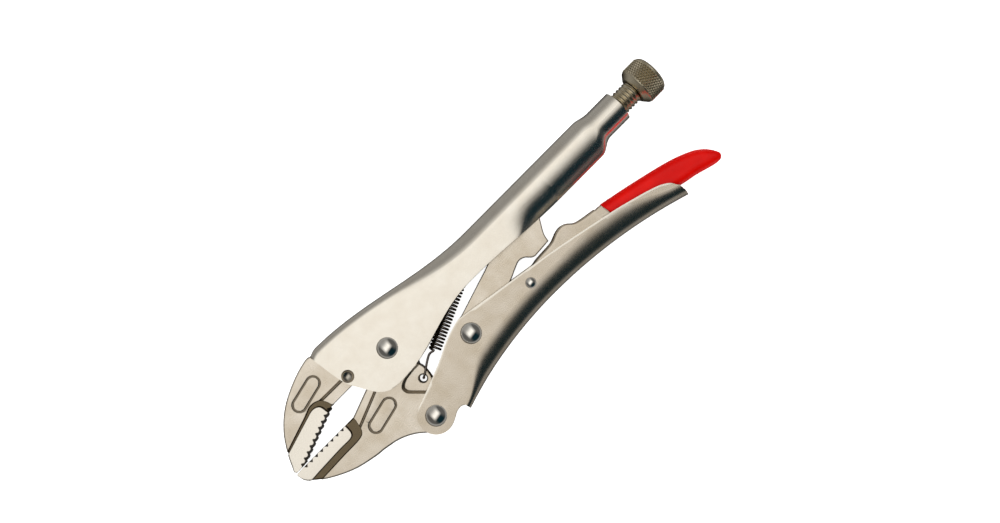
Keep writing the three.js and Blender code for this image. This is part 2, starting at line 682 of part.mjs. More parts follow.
const pieces = new THREE.Group();
pieces.add(
  named('upper_handle', upperHandle(), nickel()),
  named('fixed_jaw', fixedJaw(), nickel()),
  named('movable_jaw', movableJaw(), nickel()),
  named('lower_handle', lowerHandle(), nickel()),
  named('toggle_link', toggleLink(), nickel()),
  named('release_lever', releaseLever(), nickel()),
  named('release_grip', releaseGrip(), redVinyl()),
  named('adjusting_screw', adjustingScrew(), brownNickel()),
  named('adjusting_knob', adjustingKnob(), brownNickel()),
  named('jaw_spring', jawSpring(), springSteel()),
  named('spring_anchor', anchorPin(), nickel()),
  named('jaw_pivot_rivet', bigRivet(JAW_PIVOT), nickel()),
  named('handle_pivot_rivet', bigRivet(HANDLE_PIVOT), nickel()),
  named('link_pivot_rivet', bigRivet(LINK_PIVOT), nickel()),
  named('lever_pivot_rivet', smallRivet(LEVER_PIVOT), nickel()),
);

const extent = new THREE.Box3().setFromObject(pieces);
const middle = extent.getCenter(new THREE.Vector3());
pieces.position.set(-middle.x, -middle.y, -extent.min.z);

const pliers = new THREE.Group();
pliers.add(pieces);
export default pliers;
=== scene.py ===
# Locking pliers with curved jaws, a wire cutter and a red grip on the release lever. They lie
# on their side with the jaws closed.
# Lengths in this script are millimetres measured from the axis of the jaw pivot at mid
# thickness: x along the adjusting screw, y across the handles, z through the thickness.
# to_frame() turns them into the frame's metres.
import json
import math

import bmesh
import bpy
import numpy as np
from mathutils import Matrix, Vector
from mathutils.geometry import delaunay_2d_cdt


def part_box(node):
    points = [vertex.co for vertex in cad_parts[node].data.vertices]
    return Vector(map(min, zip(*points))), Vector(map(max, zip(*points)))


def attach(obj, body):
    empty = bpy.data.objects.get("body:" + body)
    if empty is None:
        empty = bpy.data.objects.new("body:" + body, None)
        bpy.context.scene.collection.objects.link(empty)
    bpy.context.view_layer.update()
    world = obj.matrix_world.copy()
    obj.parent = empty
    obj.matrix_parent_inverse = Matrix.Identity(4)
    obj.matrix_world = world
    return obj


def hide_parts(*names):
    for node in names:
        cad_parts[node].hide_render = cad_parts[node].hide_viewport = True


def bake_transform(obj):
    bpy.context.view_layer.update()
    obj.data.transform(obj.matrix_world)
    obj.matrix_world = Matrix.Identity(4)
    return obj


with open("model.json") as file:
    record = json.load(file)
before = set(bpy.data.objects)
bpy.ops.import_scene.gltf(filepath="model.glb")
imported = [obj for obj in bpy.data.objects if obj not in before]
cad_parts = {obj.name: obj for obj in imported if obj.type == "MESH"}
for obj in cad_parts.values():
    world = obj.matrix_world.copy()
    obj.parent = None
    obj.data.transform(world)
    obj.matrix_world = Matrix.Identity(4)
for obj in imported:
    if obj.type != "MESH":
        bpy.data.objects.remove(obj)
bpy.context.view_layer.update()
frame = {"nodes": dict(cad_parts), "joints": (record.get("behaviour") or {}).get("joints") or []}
JOINTS = {joint["name"]: joint for joint in frame["joints"]}
JAW_PIVOT_M = np.array(JOINTS["jaw_open"]["pos_m"])
MM = 0.001


def to_frame(points):
    """Millimetres from the jaw pivot to metres in the frame."""
    return JAW_PIVOT_M + np.asarray(points, float) * MM


def pivot(joint):
    """The axis of a hinge, as x and y in millimetres from the jaw pivot."""
    return (np.array(JOINTS[joint]["pos_m"]) - JAW_PIVOT_M)[:2] / MM


def node_box(node):
    """Lowest and highest corner of a CAD node, in millimetres from the jaw pivot."""
    return [(np.array(corner) - JAW_PIVOT_M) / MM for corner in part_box(node)]


HANDLE_PIVOT = pivot("handle_swing")
LINK_PIVOT = pivot("link_turn")
LEVER_PIVOT = pivot("lever_press")
SCREW_Y = pivot("knob_turn")[1]

JAW_LOW, JAW_HIGH = node_box("fixed_jaw")
TIP_X = JAW_LOW[0]
FACE = JAW_HIGH[2]  # half the thickness of the jaws
UPPER_LOW, UPPER_HIGH = node_box("upper_handle")
OUTER = UPPER_HIGH[2]  # half the width over the cheeks
SHEET = 2.2
CHANNEL = OUTER - SHEET
LOWER_HIGH = node_box("lower_handle")[1]
LINK_HALF = node_box("toggle_link")[1][2]
NOSE = np.array([98.0, SCREW_Y])
LEVER_HALF = node_box("release_lever")[1][2]
GRIP_LOW, GRIP_HIGH = node_box("release_grip")
KNOB_LOW, KNOB_HIGH = node_box("adjusting_knob")
SCREW_LOW, SCREW_HIGH = node_box("adjusting_screw")


# ---- Curves ----


def ease(x, x0, x1, a, b):
    """Goes smoothly from a at x0 to b at x1, and stays level outside them."""
    t = np.clip((np.asarray(x, float) - x0) / (x1 - x0), 0, 1)
    return a + (b - a) * (0.5 - 0.5 * np.cos(math.pi * t))


def through(points, per=8):
    """A smooth curve through the points, with `per` steps between each two."""
    p = np.asarray(points, float)
    p = np.vstack([2 * p[0] - p[1], p, 2 * p[-1] - p[-2]])
    t = np.arange(per)[:, None] / per
    parts = []
    for a, b, c, d in zip(p, p[1:], p[2:], p[3:]):
        parts.append(
            0.5 * (2 * b + (c - a) * t + (2 * a - 5 * b + 4 * c - d) * t**2)
            + 0.5 * (3 * b - a - 3 * c + d) * t**3
        )
    return np.vstack([*parts, p[-2:-1]])


def arc(centre, radius, start, end, step=6):
    """Points on a circle between two angles in degrees."""
    count = max(2, int(abs(end - start) / step) + 1)
    a = np.radians(np.linspace(start, end, count))
    return np.asarray(centre) + radius * np.stack([np.cos(a), np.sin(a)], 1)


def respaced(points, step, closed=False):
    """The same polyline with no stretch longer than step, keeping its corners."""
    p = np.asarray(points, float)
    ends = np.vstack([p, p[:1]]) if closed else p
    out = []
    for a, b in zip(ends, ends[1:]):
        length = np.linalg.norm(b - a)
        if length < 1e-6:
            continue
        count = max(1, math.ceil(length / step))
        out.extend(a + (b - a) * k / count for k in range(count))
    if not closed:
        out.append(ends[-1])
    return np.array(out)


def evenly(points, shares):
    """Points at the given shares of a polyline's length."""
    p = np.asarray(points, float)
    run = np.concatenate([[0], np.cumsum(np.linalg.norm(np.diff(p, axis=0), axis=1))])
    at = np.asarray(shares) * run[-1]
    return np.stack([np.interp(at, run, p[:, k]) for k in range(p.shape[1])], 1)


def patch(left, right, low, high):
    """A grid that fills four edges. left and right run from low to high."""
    left, right, low, high = map(np.asarray, (left, right, low, high))
    v = np.linspace(0, 1, len(left))[None, :, None]
    u = np.linspace(0, 1, len(low))[:, None, None]
    sides = (1 - u) * left[None] + u * right[None]
    rims = (1 - v) * low[:, None] + v * high[:, None]
    corners = (
        (1 - u) * ((1 - v) * left[0] + v * left[-1])
        + u * ((1 - v) * right[0] + v * right[-1])
    )
    return sides + rims - corners


def raised(grid, z):
    """A flat grid of x and y points, lifted to height z."""
    return np.concatenate([grid, np.full((*grid.shape[:2], 1), z)], axis=2)


# ---- Meshes ----


def mesh_piece(name, points_mm, faces, smooth_below=40, **marks):
    """A new object from points in millimetres. Edges sharper than smooth_below stay sharp.

    marks are values for each point that the materials read. One mark is how much brown a
    point holds: tarnish in grooves, and painted shade in corners, dimples, knurls and along the
    cheeks' edges. The other is 1 where the surface was ground bright, and on edges that carry
    a painted highlight.
    """
    mesh = bpy.data.meshes.new(name)
    mesh.from_pydata(to_frame(points_mm).tolist(), [], [list(map(int, f)) for f in faces])
    for mark, values in marks.items():
        mesh.attributes.new(mark, "FLOAT", "POINT").data.foreach_set("value", np.ravel(values))
    mesh.validate()
    shell = bmesh.new()
    shell.from_mesh(mesh)
    bmesh.ops.remove_doubles(shell, verts=shell.verts, dist=1e-3 * MM)
    bmesh.ops.recalc_face_normals(shell, faces=shell.faces)
    shell.to_mesh(mesh)
    shell.free()
    piece = bpy.data.objects.new(name, mesh)
    bpy.context.scene.collection.objects.link(piece)
    soften(piece, smooth_below)
    return piece


def soften(piece, smooth_below):
    """Smooth shading, apart from edges sharper than smooth_below degrees."""
    mesh = piece.data
    mesh.polygons.foreach_set("use_smooth", [True] * len(mesh.polygons))
    mesh.set_sharp_from_angle(angle=math.radians(smooth_below))


def apply_modifier(piece, kind, **settings):
    modifier = piece.modifiers.new(kind, kind)
    for key, value in settings.items():
        setattr(modifier, key, value)
    graph = bpy.context.evaluated_depsgraph_get()
    made = bpy.data.meshes.new_from_object(piece.evaluated_get(graph))
    made.name = piece.data.name
    piece.modifiers.clear()
    piece.data = made


def cut(piece, tool, operation="DIFFERENCE"):
    """Cuts the tool out of the piece, or joins it on, and throws the tool away."""
    apply_modifier(piece, "BOOLEAN", operation=operation, object=tool, solver="EXACT")
    bpy.data.objects.remove(tool)


def even_normals(piece, smooth_below=40):
    """Flat faces stay flat in the light next to their rounded edges."""
    soften(piece, smooth_below)
    modifier = piece.modifiers.new("even_normals", "WEIGHTED_NORMAL")
    modifier.keep_sharp = True
    modifier.weight = 90


def grid_faces(rows, columns, offset=0, closed_rows=False):
    """Quads of a grid of points, which joins its last row to its first if closed_rows."""
    faces = []
    for i in range(rows if closed_rows else rows - 1):
        for j in range(columns - 1):
            a = offset + i * columns + j
            b = offset + ((i + 1) % rows) * columns + j
            faces.append((a, b, b + 1, a + 1))
    return faces


def around_axis(name, along, radii, centre, axis, **kw):
    """A closed piece round an axis. radii has a row for each angle, a column for each place."""
    a = np.linspace(0, 2 * math.pi, len(radii), endpoint=False)[:, None]
    c, s = radii * np.cos(a), radii * np.sin(a)
    rings = np.zeros((*radii.shape, 3))
    if axis == "x":
        rings[..., 0], rings[..., 1], rings[..., 2] = along, centre[1] + c, centre[2] + s
    else:
        rings[..., 0], rings[..., 1], rings[..., 2] = centre[0] + c, centre[1] + s, along
    faces = grid_faces(*radii.shape, closed_rows=True)
    return mesh_piece(name, rings.reshape(-1, 3), faces, **kw)


def turned(name, profile, centre, segments=96):
    """A lathe-turned piece along z. profile is (place, radius) pairs, end to end."""
    along, radius = np.asarray(profile, float).T
    return around_axis(name, along, np.tile(radius, (segments, 1)), centre, "z")


def tube(name, rings):
    """A closed tube through rings that all have the same number of points."""
    rings = np.asarray(rings, float)
    count, around = rings.shape[:2]
    faces = []
    for i in range(count - 1):
        for j in range(around):
            a, b = i * around + j, i * around + (j + 1) % around
            faces.append((a, b, b + around, a + around))
    last = (count - 1) * around
    faces += [tuple(range(around)), tuple(range(last, last + around))]
    return mesh_piece(name, rings.reshape(-1, 3), faces)


def fillet_profile(stations, radius=0.4, steps=4):
    """Turned-profile corners rounded off: each (x, r) corner with an angle gets an arc."""
    p = np.asarray(stations, float)
    out = [p[0]]
    for a, b, c in zip(p, p[1:], p[2:]):
        back, ahead = a - b, c - b
        lb, la = np.linalg.norm(back), np.linalg.norm(ahead)
        r = min(radius, 0.45 * lb, 0.45 * la)
        for t in np.linspace(0, 1, steps + 1):
            start, end = b + back / lb * r, b + ahead / la * r
            out.append((1 - t) ** 2 * start + 2 * t * (1 - t) * b + t**2 * end)
    out.append(p[-1])
    return np.array(out)


# ---- Flat forgings and blanks ----


def distance_to(points, line, closed):
    """Distance from each point to a polyline."""
    a = line
    b = np.roll(line, -1, axis=0) if closed else line[1:]
    a = a if closed else a[:-1]
    best = np.full(len(points), 1e9)
    for start in range(0, len(points), 2000):
        p = points[start : start + 2000, None]
        ab = (b - a)[None]
        t = np.clip(((p - a) * ab).sum(-1) / np.maximum((ab**2).sum(-1), 1e-12), 0, 1)
        gap = np.linalg.norm(p - (a + t[..., None] * ab), axis=-1)
        best[start : start + 2000] = gap.min(1)
    return best


def inside(points, polygon):
    """True for each point that lies inside a closed polygon."""
    x, y = points[:, :1], points[:, 1:2]
    x0, y0 = polygon[:, 0], polygon[:, 1]
    x1, y1 = np.roll(x0, -1), np.roll(y0, -1)
    crosses = (y0 > y) != (y1 > y)
    at = x0 + (y - y0) * (x1 - x0) / np.where(y1 == y0, 1e-12, y1 - y0)
    return (np.logical_and(crosses, x < at).sum(1) % 2).astype(bool)


def moved_out(line, by, closed):
    """The polyline moved sideways, to its left for a positive distance."""
    ahead = np.roll(line, -1, axis=0) - line
    back = line - np.roll(line, 1, axis=0)
    if not closed:
        ahead[-1], back[0] = back[-1], ahead[0]
    ahead /= np.maximum(np.linalg.norm(ahead, axis=1), 1e-9)[:, None]
    back /= np.maximum(np.linalg.norm(back, axis=1), 1e-9)[:, None]
    tangent = ahead + back
    tangent /= np.maximum(np.linalg.norm(tangent, axis=1), 1e-9)[:, None]
    return line + by * np.stack([-tangent[:, 1], tangent[:, 0]], 1)


def smooth_step(t):
    """0 up to 0, 1 from 1, and a smooth slope between them."""
    t = np.clip(t, 0, 1)
    return t * t * (3 - 2 * t)


def flat_piece(name, outline, half, edge, sunk=(), lines=(), holes=(), land=None, step=0.7):
    """A flat forging or blank, alike on both faces.

    outline is its side view, and edge(x, y) the radius of its edge there. sunk lists areas
    under the face as (polygon, depth, wall, floor tint), where the tint is brown tarnish
    deepened by painted shade, and lines lists grooves as (points, closed, width, depth), tinted
    the same way. holes are polygons that go through. land is an area ground bright.
    """
    outline = respaced(outline, step, closed=True)
    rims = [outline, *(respaced(h, step, closed=True) for h in holes)]
    chains = []
    for rim in rims:
        chains.append((rim, True))
        for share in (0.1, 0.35, 0.65, 1.0):
            radius = edge(rim[:, 0], rim[:, 1])[:, None]
            for side in (1, -1):
                ring = moved_out(rim, 1, True) - rim
                chains.append((rim + side * share * radius * ring, True))
    for polygon, _depth, wall, _floor_tarnish_and_shade in sunk:
        line = respaced(polygon, step, closed=True)
        for share in (-0.5, -0.25, 0, 0.25, 0.5):
            chains.append((moved_out(line, share * wall, True), True))
    for points, closed, width, _depth in lines:
        line = respaced(points, step, closed=closed)
        for share in (-0.5, -0.3, -0.12, 0.12, 0.3, 0.5):
            chains.append((moved_out(line, share * width, closed), closed))
    spots, edges = [], []
    for line, closed in chains:
        first = len(spots)
        spots.extend(map(tuple, line))
        count = len(line)
        last = count if closed else count - 1
        edges.extend((first + i, first + (i + 1) % count) for i in range(last))
    spots, _e, triangles, *_rest = delaunay_2d_cdt(
        [Vector(s) for s in spots], edges, [], 0, 1e-5
    )
    xy = np.array([tuple(s) for s in spots])
    triangles = np.array([t for t in triangles if len(t) == 3])
    centre = xy[triangles].mean(1)
    keep = inside(centre, outline)
    for hole in rims[1:]:
        keep &= ~inside(centre, hole)
    triangles = triangles[keep]
    used = np.unique(triangles)
    renumber = np.full(len(xy), -1)
    renumber[used] = np.arange(len(used))
    xy, triangles = xy[used], renumber[triangles]

    from_rim = np.min([distance_to(xy, rim, True) for rim in rims], axis=0)
    radius = edge(xy[:, 0], xy[:, 1])
    inset = np.clip(radius - from_rim, 0, None)
    drop = radius - np.sqrt(np.maximum(radius**2 - inset**2, 0))
    # Brown tint: tarnish on groove floors, deepened by painted shade at their walls.
    recess = np.zeros(len(xy))
    for polygon, depth, wall, floor_tarnish_and_shade in sunk:
        gap = distance_to(xy, respaced(polygon, step, closed=True), True)
        gap = np.where(inside(xy, np.asarray(polygon, float)), gap, -gap)
        drop = drop + depth * smooth_step(gap / wall + 0.5)
        recess = np.maximum(recess, floor_tarnish_and_shade * smooth_step(gap / wall + 0.6))
    for points, closed, width, depth in lines:
        gap = distance_to(xy, respaced(points, step, closed=closed), closed)
        drop = np.maximum(drop, depth * (1 - smooth_step(gap / (0.5 * width))))
        # Grooves and lines are tinted brown as tarnish and painted shade; at the ear's edge it is
        # painted shade alone.
        recess = np.maximum(recess, 0.85 * (1 - smooth_step(gap / (0.5 * width) - 0.1)))
    ground = np.zeros(len(xy))
    if land is not None:
        ground[inside(xy, np.asarray(land, float)) & (recess < 0.1)] = 1.0
    z = half - drop
    count = len(xy)
    top = np.column_stack([xy, z])
    bottom = np.column_stack([xy, -z])
    faces = [tuple(t) for t in triangles] + [tuple(t[::-1] + count) for t in triangles]
    seen = set()
    for t in triangles:
        seen.update({(t[0], t[1]), (t[1], t[2]), (t[2], t[0])})
    faces += [(b, a, a + count, b + count) for a, b in seen if (b, a) not in seen]
    piece = mesh_piece(
        name, np.vstack([top, bottom]), faces,
        recess=np.tile(recess, 2), ground=np.tile(ground, 2),
    )
    even_normals(piece)
    return piece


# ---- Jaws ----

TIP_Y = -11.1
TIP_GAP = 0.3
TOOTH_PITCH = 3.0
TOOTH_DEPTH = 1.15
TOOTH_NOTCH = 2.0
NOTCH_SHAPE = ((-0.5, 0), (-0.08, 0.93), (0.08, 0.93), (0.5, 0))  # shares of width and depth
FIXED_SLOPE = math.radians(20)
THROAT_Y = -0.5
HUB_RADIUS = 12.5
TANG_RADIUS = 13.1
EAR_HALF = 2.0
SPRING_HOLE = (0.7, -21.4)
SPRING_HOLE_RADIUS = 1.7
SHANK_HOLE = 3.35
SMALL_SHANK_HOLE = 1.75
GROOVE_DEPTH, GROOVE_WALL = 1.2, 0.5
CUTTER_LINE_DEPTH = 1.0
BADGE_WIDTH, BADGE_DEPTH = 1.3, 0.45
# The first is brown tarnish deepened by painted shade, the second no tint.
TARNISHED_AND_SHADED, BRIGHT = 1.0, 0.0  # how brown the floor of a sunk area is
CREST_EDGE, FORGED_EDGE = 0.12, 0.9  # edge radius at the teeth and elsewhere


def teeth(start, angle, length, side):
    """Corners of a row of teeth: flat crests with V notches that go into the jaw."""
    count = int(length / TOOTH_PITCH)
    along = np.array([math.cos(angle), math.sin(angle)])
    deep = side * np.array([-math.sin(angle), math.cos(angle)])
    corners = []
    for i in range(count):
        middle = (i + 0.5) * length / count
        for place, depth in NOTCH_SHAPE:
            corner = start + along * (middle + place * TOOTH_NOTCH)
            corners.append(corner + deep * depth * TOOTH_DEPTH)
    return np.array(corners)


def badge(left, right, radius):
    """The stadium-shaped line round a blank badge."""
    left, right = np.array(left), np.array(right)
    turn = math.degrees(math.atan2(*(right - left)[::-1]))
    return np.vstack([
        arc(right, radius, turn - 90, turn + 90),
        arc(left, radius, turn + 90, turn + 270),
    ])


def back_y(x):
    """The back of the upper handle, from its crown down to the tube."""
    return ease(x, -25, 62, UPPER_HIGH[1], TUBE_TOP)


def fixed_jaw():
    """The upper jaw: sloping teeth, a bright land, a deep groove and a tang in the handle."""
    start = np.array([TIP_X + 4.1, TIP_Y + TIP_GAP / 2])
    length = (THROAT_Y - start[1]) / math.sin(FIXED_SLOPE)
    end_x = start[0] + length * math.cos(FIXED_SLOPE)
    tang_x = np.linspace(JAW_HIGH[0], UPPER_LOW[0] - 0.3, 12)
    outline = np.vstack([
        [[TIP_X + 0.8, start[1]]],
        teeth(start, FIXED_SLOPE, length, 1),
        [[end_x, THROAT_Y]],
        arc((0, 0), TANG_RADIUS, 182.2, 50),
        np.column_stack([tang_x, back_y(tang_x) - SHEET - 0.6]),
        through([
            (UPPER_LOW[0] - 0.3, 22.2), (-31.1, 22.6), (-40.7, 19.9), (-52.1, 14.3),
            (TIP_X + 9.7, 6.8), (TIP_X + 3.6, -2.1), (TIP_X, TIP_Y + 1.5),
        ]),
    ])
    land = end_x - 2.5
    groove = np.vstack([
        [(TIP_X - 1, -3.4)],
        through([
            (TIP_X + 3.6, -2.2), (-50, 2.9), (land - 4.3, 4.3), (land - 0.9, 3), (land, -0.8),
        ]),
        [(land, -4), (land + 4, THROAT_Y - 1)],
        through([
            (land + 3.7, THROAT_Y), (land + 2.8, 2.4), (land + 0.6, 5.3), (land - 4, 6.2),
            (-50, 4.1), (TIP_X + 3.6, -1.4),
        ]),
        [(TIP_X - 1, -2.6)],
    ])

    def edge(x, y):
        near_teeth = np.clip(y - (start[1] + (x - start[0]) * math.tan(FIXED_SLOPE)), 0, None)
        return ease(near_teeth, 0.5, 5, CREST_EDGE, FORGED_EDGE)

    return flat_piece(
        "fixed_jaw_forging", outline, FACE, edge,
        sunk=[(groove, GROOVE_DEPTH, GROOVE_WALL, TARNISHED_AND_SHADED)],
        lines=[
            ([(land, 4.6), (UPPER_LOW[0] + 6, 4.4)], False, 1.6, CUTTER_LINE_DEPTH),
            (badge((-47.0, 10.0), (-35.5, 12.7), 3.1), True, BADGE_WIDTH, BADGE_DEPTH),
        ],
        land=np.vstack([groove[: len(groove) // 2 - 6], [(land, -12), (TIP_X - 1, -12)]]),
    )


def movable_jaw():
    """The lower jaw: level teeth, the hub round the pivot, and a thin ear for the spring."""
    top = TIP_Y - TIP_GAP / 2
    start = np.array([TIP_X + 4.5, top])
    length = -TIP_X - 4.5 - 39.5
    land = start[0] + length + 0.6
    outline = np.vstack([
        [[TIP_X + 0.7, top]],
        teeth(start, 0, length, -1),
        [[land + 5, top], [-20.1, -6.2]],
        arc((0, 0), HUB_RADIUS, 195.3, -65),
        through([(4.2, -15), (4.9, -17.9), (4.6, -22.1), (3.4, -28), (1.6, -33.5)]),
        arc(HANDLE_PIVOT, 8.3, 10, -125),
        through([
            (-14.3, -40.7), (-19.5, -36.4), (-26, -33.3), (-33.6, -31.7), (-39.3, -31),
            (-50, -28.4), (TIP_X + 9.7, -23.2), (TIP_X + 1.6, -16.9), (TIP_X, top - 0.8),
        ]),
    ])
    groove = np.vstack([
        through([
            (TIP_X - 1, -18.1), (-50, -17.2), (land - 2.6, -17.1), (land - 0.4, -15.6), (land, -13),
        ]),
        [(land, top + 1), (land + 5.1, top + 1)],
        through([
            (land + 5, -13), (land + 3.6, -18.2), (land, -20.1), (-50, -20.4), (TIP_X - 1, -21.2),
        ]),
    ])
    ear = np.vstack([
        through([(-0.7, -15.2), (-5.4, -16), (-8.3, -17.8), (-8.4, -20.2), (-7.4, -21.6)]),
        [(-2.5, -26.6), (8, -26.6), (8, -15.2)],
    ])

    def edge(x, y):
        near_teeth = np.where(x < land + 1, np.clip(top - y, 0, None), 5)
        return ease(near_teeth, 0.5, 5, CREST_EDGE, FORGED_EDGE)

    return flat_piece(
        "movable_jaw_forging", outline, FACE, edge,
        sunk=[
            (groove, GROOVE_DEPTH, GROOVE_WALL, TARNISHED_AND_SHADED), (ear, FACE - EAR_HALF, 1.0, BRIGHT),
        ],
        lines=[
            ([(-34.5, -16.4), (-12, -7.4)], False, 1.4, CUTTER_LINE_DEPTH),
            (badge((-29.1, -21.3), (-18.1, -18.7), 3.15), True, BADGE_WIDTH, BADGE_DEPTH),
            (ear[:-2], False, 1.5, 0.0),  # no groove, only painted shade in the corner at the ear's wall
        ],
        land=[(TIP_X - 1, -10), (TIP_X - 1, -18), (land, -17.5), (land, -10)],
        holes=[
            arc(SPRING_HOLE, SPRING_HOLE_RADIUS, 0, 345, 15),
            arc((0, 0), SHANK_HOLE, 0, 350, 10),
            arc(HANDLE_PIVOT, SHANK_HOLE, 0, 350, 10),
        ],
    )


# ---- Toggle link ----

LINK_EDGE = 0.6
LINK_EYE, LINK_NOSE = 7.6, 3.8  # radii of its two ends


def toggle_link():
    """The flat forged link, from its pivot in the lower handle to the screw's tip."""
    nx, ny = NOSE
    outline = np.vstack([
        arc(LINK_PIVOT, LINK_EYE, 290, 112),
        through([
            (nx - 42, ny - 9.8), (nx - 14, ny + 1.2), (nx - 7, ny + 3.4), (nx, ny + LINK_NOSE),
        ]),
        arc(NOSE, LINK_NOSE, 75, -90),
        through([
            (nx - 4.5, ny - 6), (nx - 9, ny - 13.2), (nx - 11.4, ny - 17.5), (nx - 12.2, -17.7),
        ]),
        through([
            (76.6, -18.3), (75, -17.6), (72.7, -15.4), (69.8, -14.6), (66.3, -15.8), (61.9, -17.8),
        ]),
    ])
    return flat_piece(
        "toggle_link_forging", outline, LINK_HALF, lambda x, y: np.full(np.shape(x), LINK_EDGE),
        holes=[arc(LINK_PIVOT, SHANK_HOLE, 0, 350, 10)],
    )


# ---- Pressed sheet ----


def pressed(name, grids, thickness, edge):
    """A bent sheet. grids are quad grids of points on its outer face that share borders."""
    points, faces = [], []
    for grid in grids:
        rows, columns = grid.shape[:2]
        faces += grid_faces(rows, columns, offset=len(points))
        points.extend(grid.reshape(-1, 3))
    piece = mesh_piece(name, np.array(points), faces)
    apply_modifier(
        piece, "SOLIDIFY", thickness=thickness * MM, offset=-1, use_quality_normals=True,
    )
    apply_modifier(
        piece, "BEVEL", width=edge * MM, segments=3, limit_method="ANGLE",
        angle_limit=math.radians(60), use_clamp_overlap=True,
    )
    return piece


def both_halves(grid, joined):
    """A grid and its mirror image: one grid if its last column is on the middle plane."""
    mirrored = grid[:, ::-1].copy()
    mirrored[..., 2] *= -1
    if joined:
        return [np.concatenate([grid, mirrored[:, 1:]], axis=1)]
    return [grid, mirrored]


# Upper handle. A section runs from the rim, up the cheek and round the bend to the back.
TUBE_TOP, TUBE_BOTTOM = 12.3, -7.9
CREST_BEND, TUBE_BEND = 3.6, 6.2
CHEEK_BOTTOM, WAIST = -15.1, -5.3
TUBE_FROM, ROLL_LENGTH = 76, 16
SLIT_FROM, CLOSING = 101, 5
CROWN_HALF = 7.9  # from the back down to the fullest line of the cheeks
TOP_OVAL, UNDER_OVAL = 0.55, 0.88  # how far the section rounds out above and below that line
HANDLE_END = UPPER_HIGH[0]
NECK_FROM = HANDLE_END - 12.3
TAPER_FROM = NECK_FROM - 9
NECK_RADIUS = 7.65
SLIT_HALF = 4.1
FRONT_PATCH_END = 12
PRESSED_EDGE = 0.45  # radius left on the sheet's edges by tumbling
PUNCH_MARK = np.array([-21.6, 3.6])
PUNCH_BALL, PUNCH_LIFT, PUNCH_SHADE = 3.4, 1.6, 2.85  # ball radius, its centre's height, reach of the painted shade


def rim_y(x):
    """The lower rim of the upper handle's cheeks, from the pivot back."""
    return ease(x, -6, 47, CHEEK_BOTTOM, WAIST) + ease(x, 50, 104, 0, TUBE_BOTTOM - WAIST)


def upper_section(x):
    """Points (z, y) of half a section: 12 steps of roll, 16 of cheek, 8 of bend and 3 of back."""
    half = float(ease(x, TAPER_FROM, NECK_FROM, OUTER, NECK_RADIUS))
    crown = float(ease(x, TAPER_FROM, NECK_FROM, back_y(x), SCREW_Y + NECK_RADIUS))
    crown -= float(ease(x, UPPER_LOW[0], UPPER_LOW[0] + 2.8, 1.0, 0))
    rim = float(ease(x, TAPER_FROM, NECK_FROM, rim_y(x), SCREW_Y - NECK_RADIUS))
    roll = min(float(ease(x, TAPER_FROM, NECK_FROM, TUBE_BEND, NECK_RADIUS)), half)
    bend = float(ease(x, 14, 62, CREST_BEND, TUBE_BEND))
    bend = min(float(ease(x, TAPER_FROM, NECK_FROM, bend, NECK_RADIUS)), half - 0.3)
    reach = float(ease(x, SLIT_FROM, SLIT_FROM + CLOSING, SLIT_HALF, 0.8))
    full = math.acos(np.clip((reach - half + roll) / (roll - SHEET), 0, 1))
    curl = float(ease(x, TUBE_FROM, TUBE_FROM + ROLL_LENGTH, math.radians(2), full))
    closing = float(ease(x, SLIT_FROM, SLIT_FROM + CLOSING, 0, 1))
    lap = 0.3 + closing * max(half - roll - 0.5 - 0.3, 0)
    centre = rim + roll * math.sin(curl) + lap * math.cos(curl)
    top = crown - bend
    straight = min(roll * (math.pi / 2 - curl), 0.5 * max(top - centre, 0))
    points = []
    for s in np.linspace(0, lap + roll * curl + straight, 13):
        turned_by = np.clip((s - lap) / roll, 0, curl)
        a = -(curl - turned_by)
        z, y = half - roll + roll * math.cos(a), centre + roll * math.sin(a)
        before = max(lap - s, 0)
        after = max(s - lap - roll * curl, 0)
        z -= before * math.sin(curl)
        y += after - before * math.cos(curl)
        points.append((z, y))
    points += [(half, y) for y in np.linspace(points[-1][1], top, 17)[1:]]
    for a in np.linspace(0, math.pi / 2, 9)[1:]:
        points.append((half - bend + bend * math.cos(a), top + bend * math.sin(a)))
    points += [(z, crown) for z in np.linspace(half - bend, 0, 4)[1:]]
    points = np.array(points)
    in_tube = float(ease(x, TAPER_FROM, NECK_FROM, 1, 0))
    above = TOP_OVAL * float(ease(x, 5, 50, 0, 1)) * in_tube
    under = UNDER_OVAL * float(ease(x, TUBE_FROM - 2, TUBE_FROM + ROLL_LENGTH + 2, 0, 1)) * in_tube
    fullest = crown - CROWN_HALF
    rise = points[:, 1] - fullest
    rise = np.where(rise > 0, rise / CROWN_HALF, rise / max(fullest - rim, 1))
    share = np.where(rise > 0, above, under)
    slim = np.sqrt(np.clip(1 - share * rise**2, 0.05, 1))
    flat = np.sqrt(np.clip(1 - (np.abs(points[:, 0]) / half) ** 2, 0, 1))
    points[:, 0] *= 1 - (1 - slim) * (1 - flat**4)
    return points


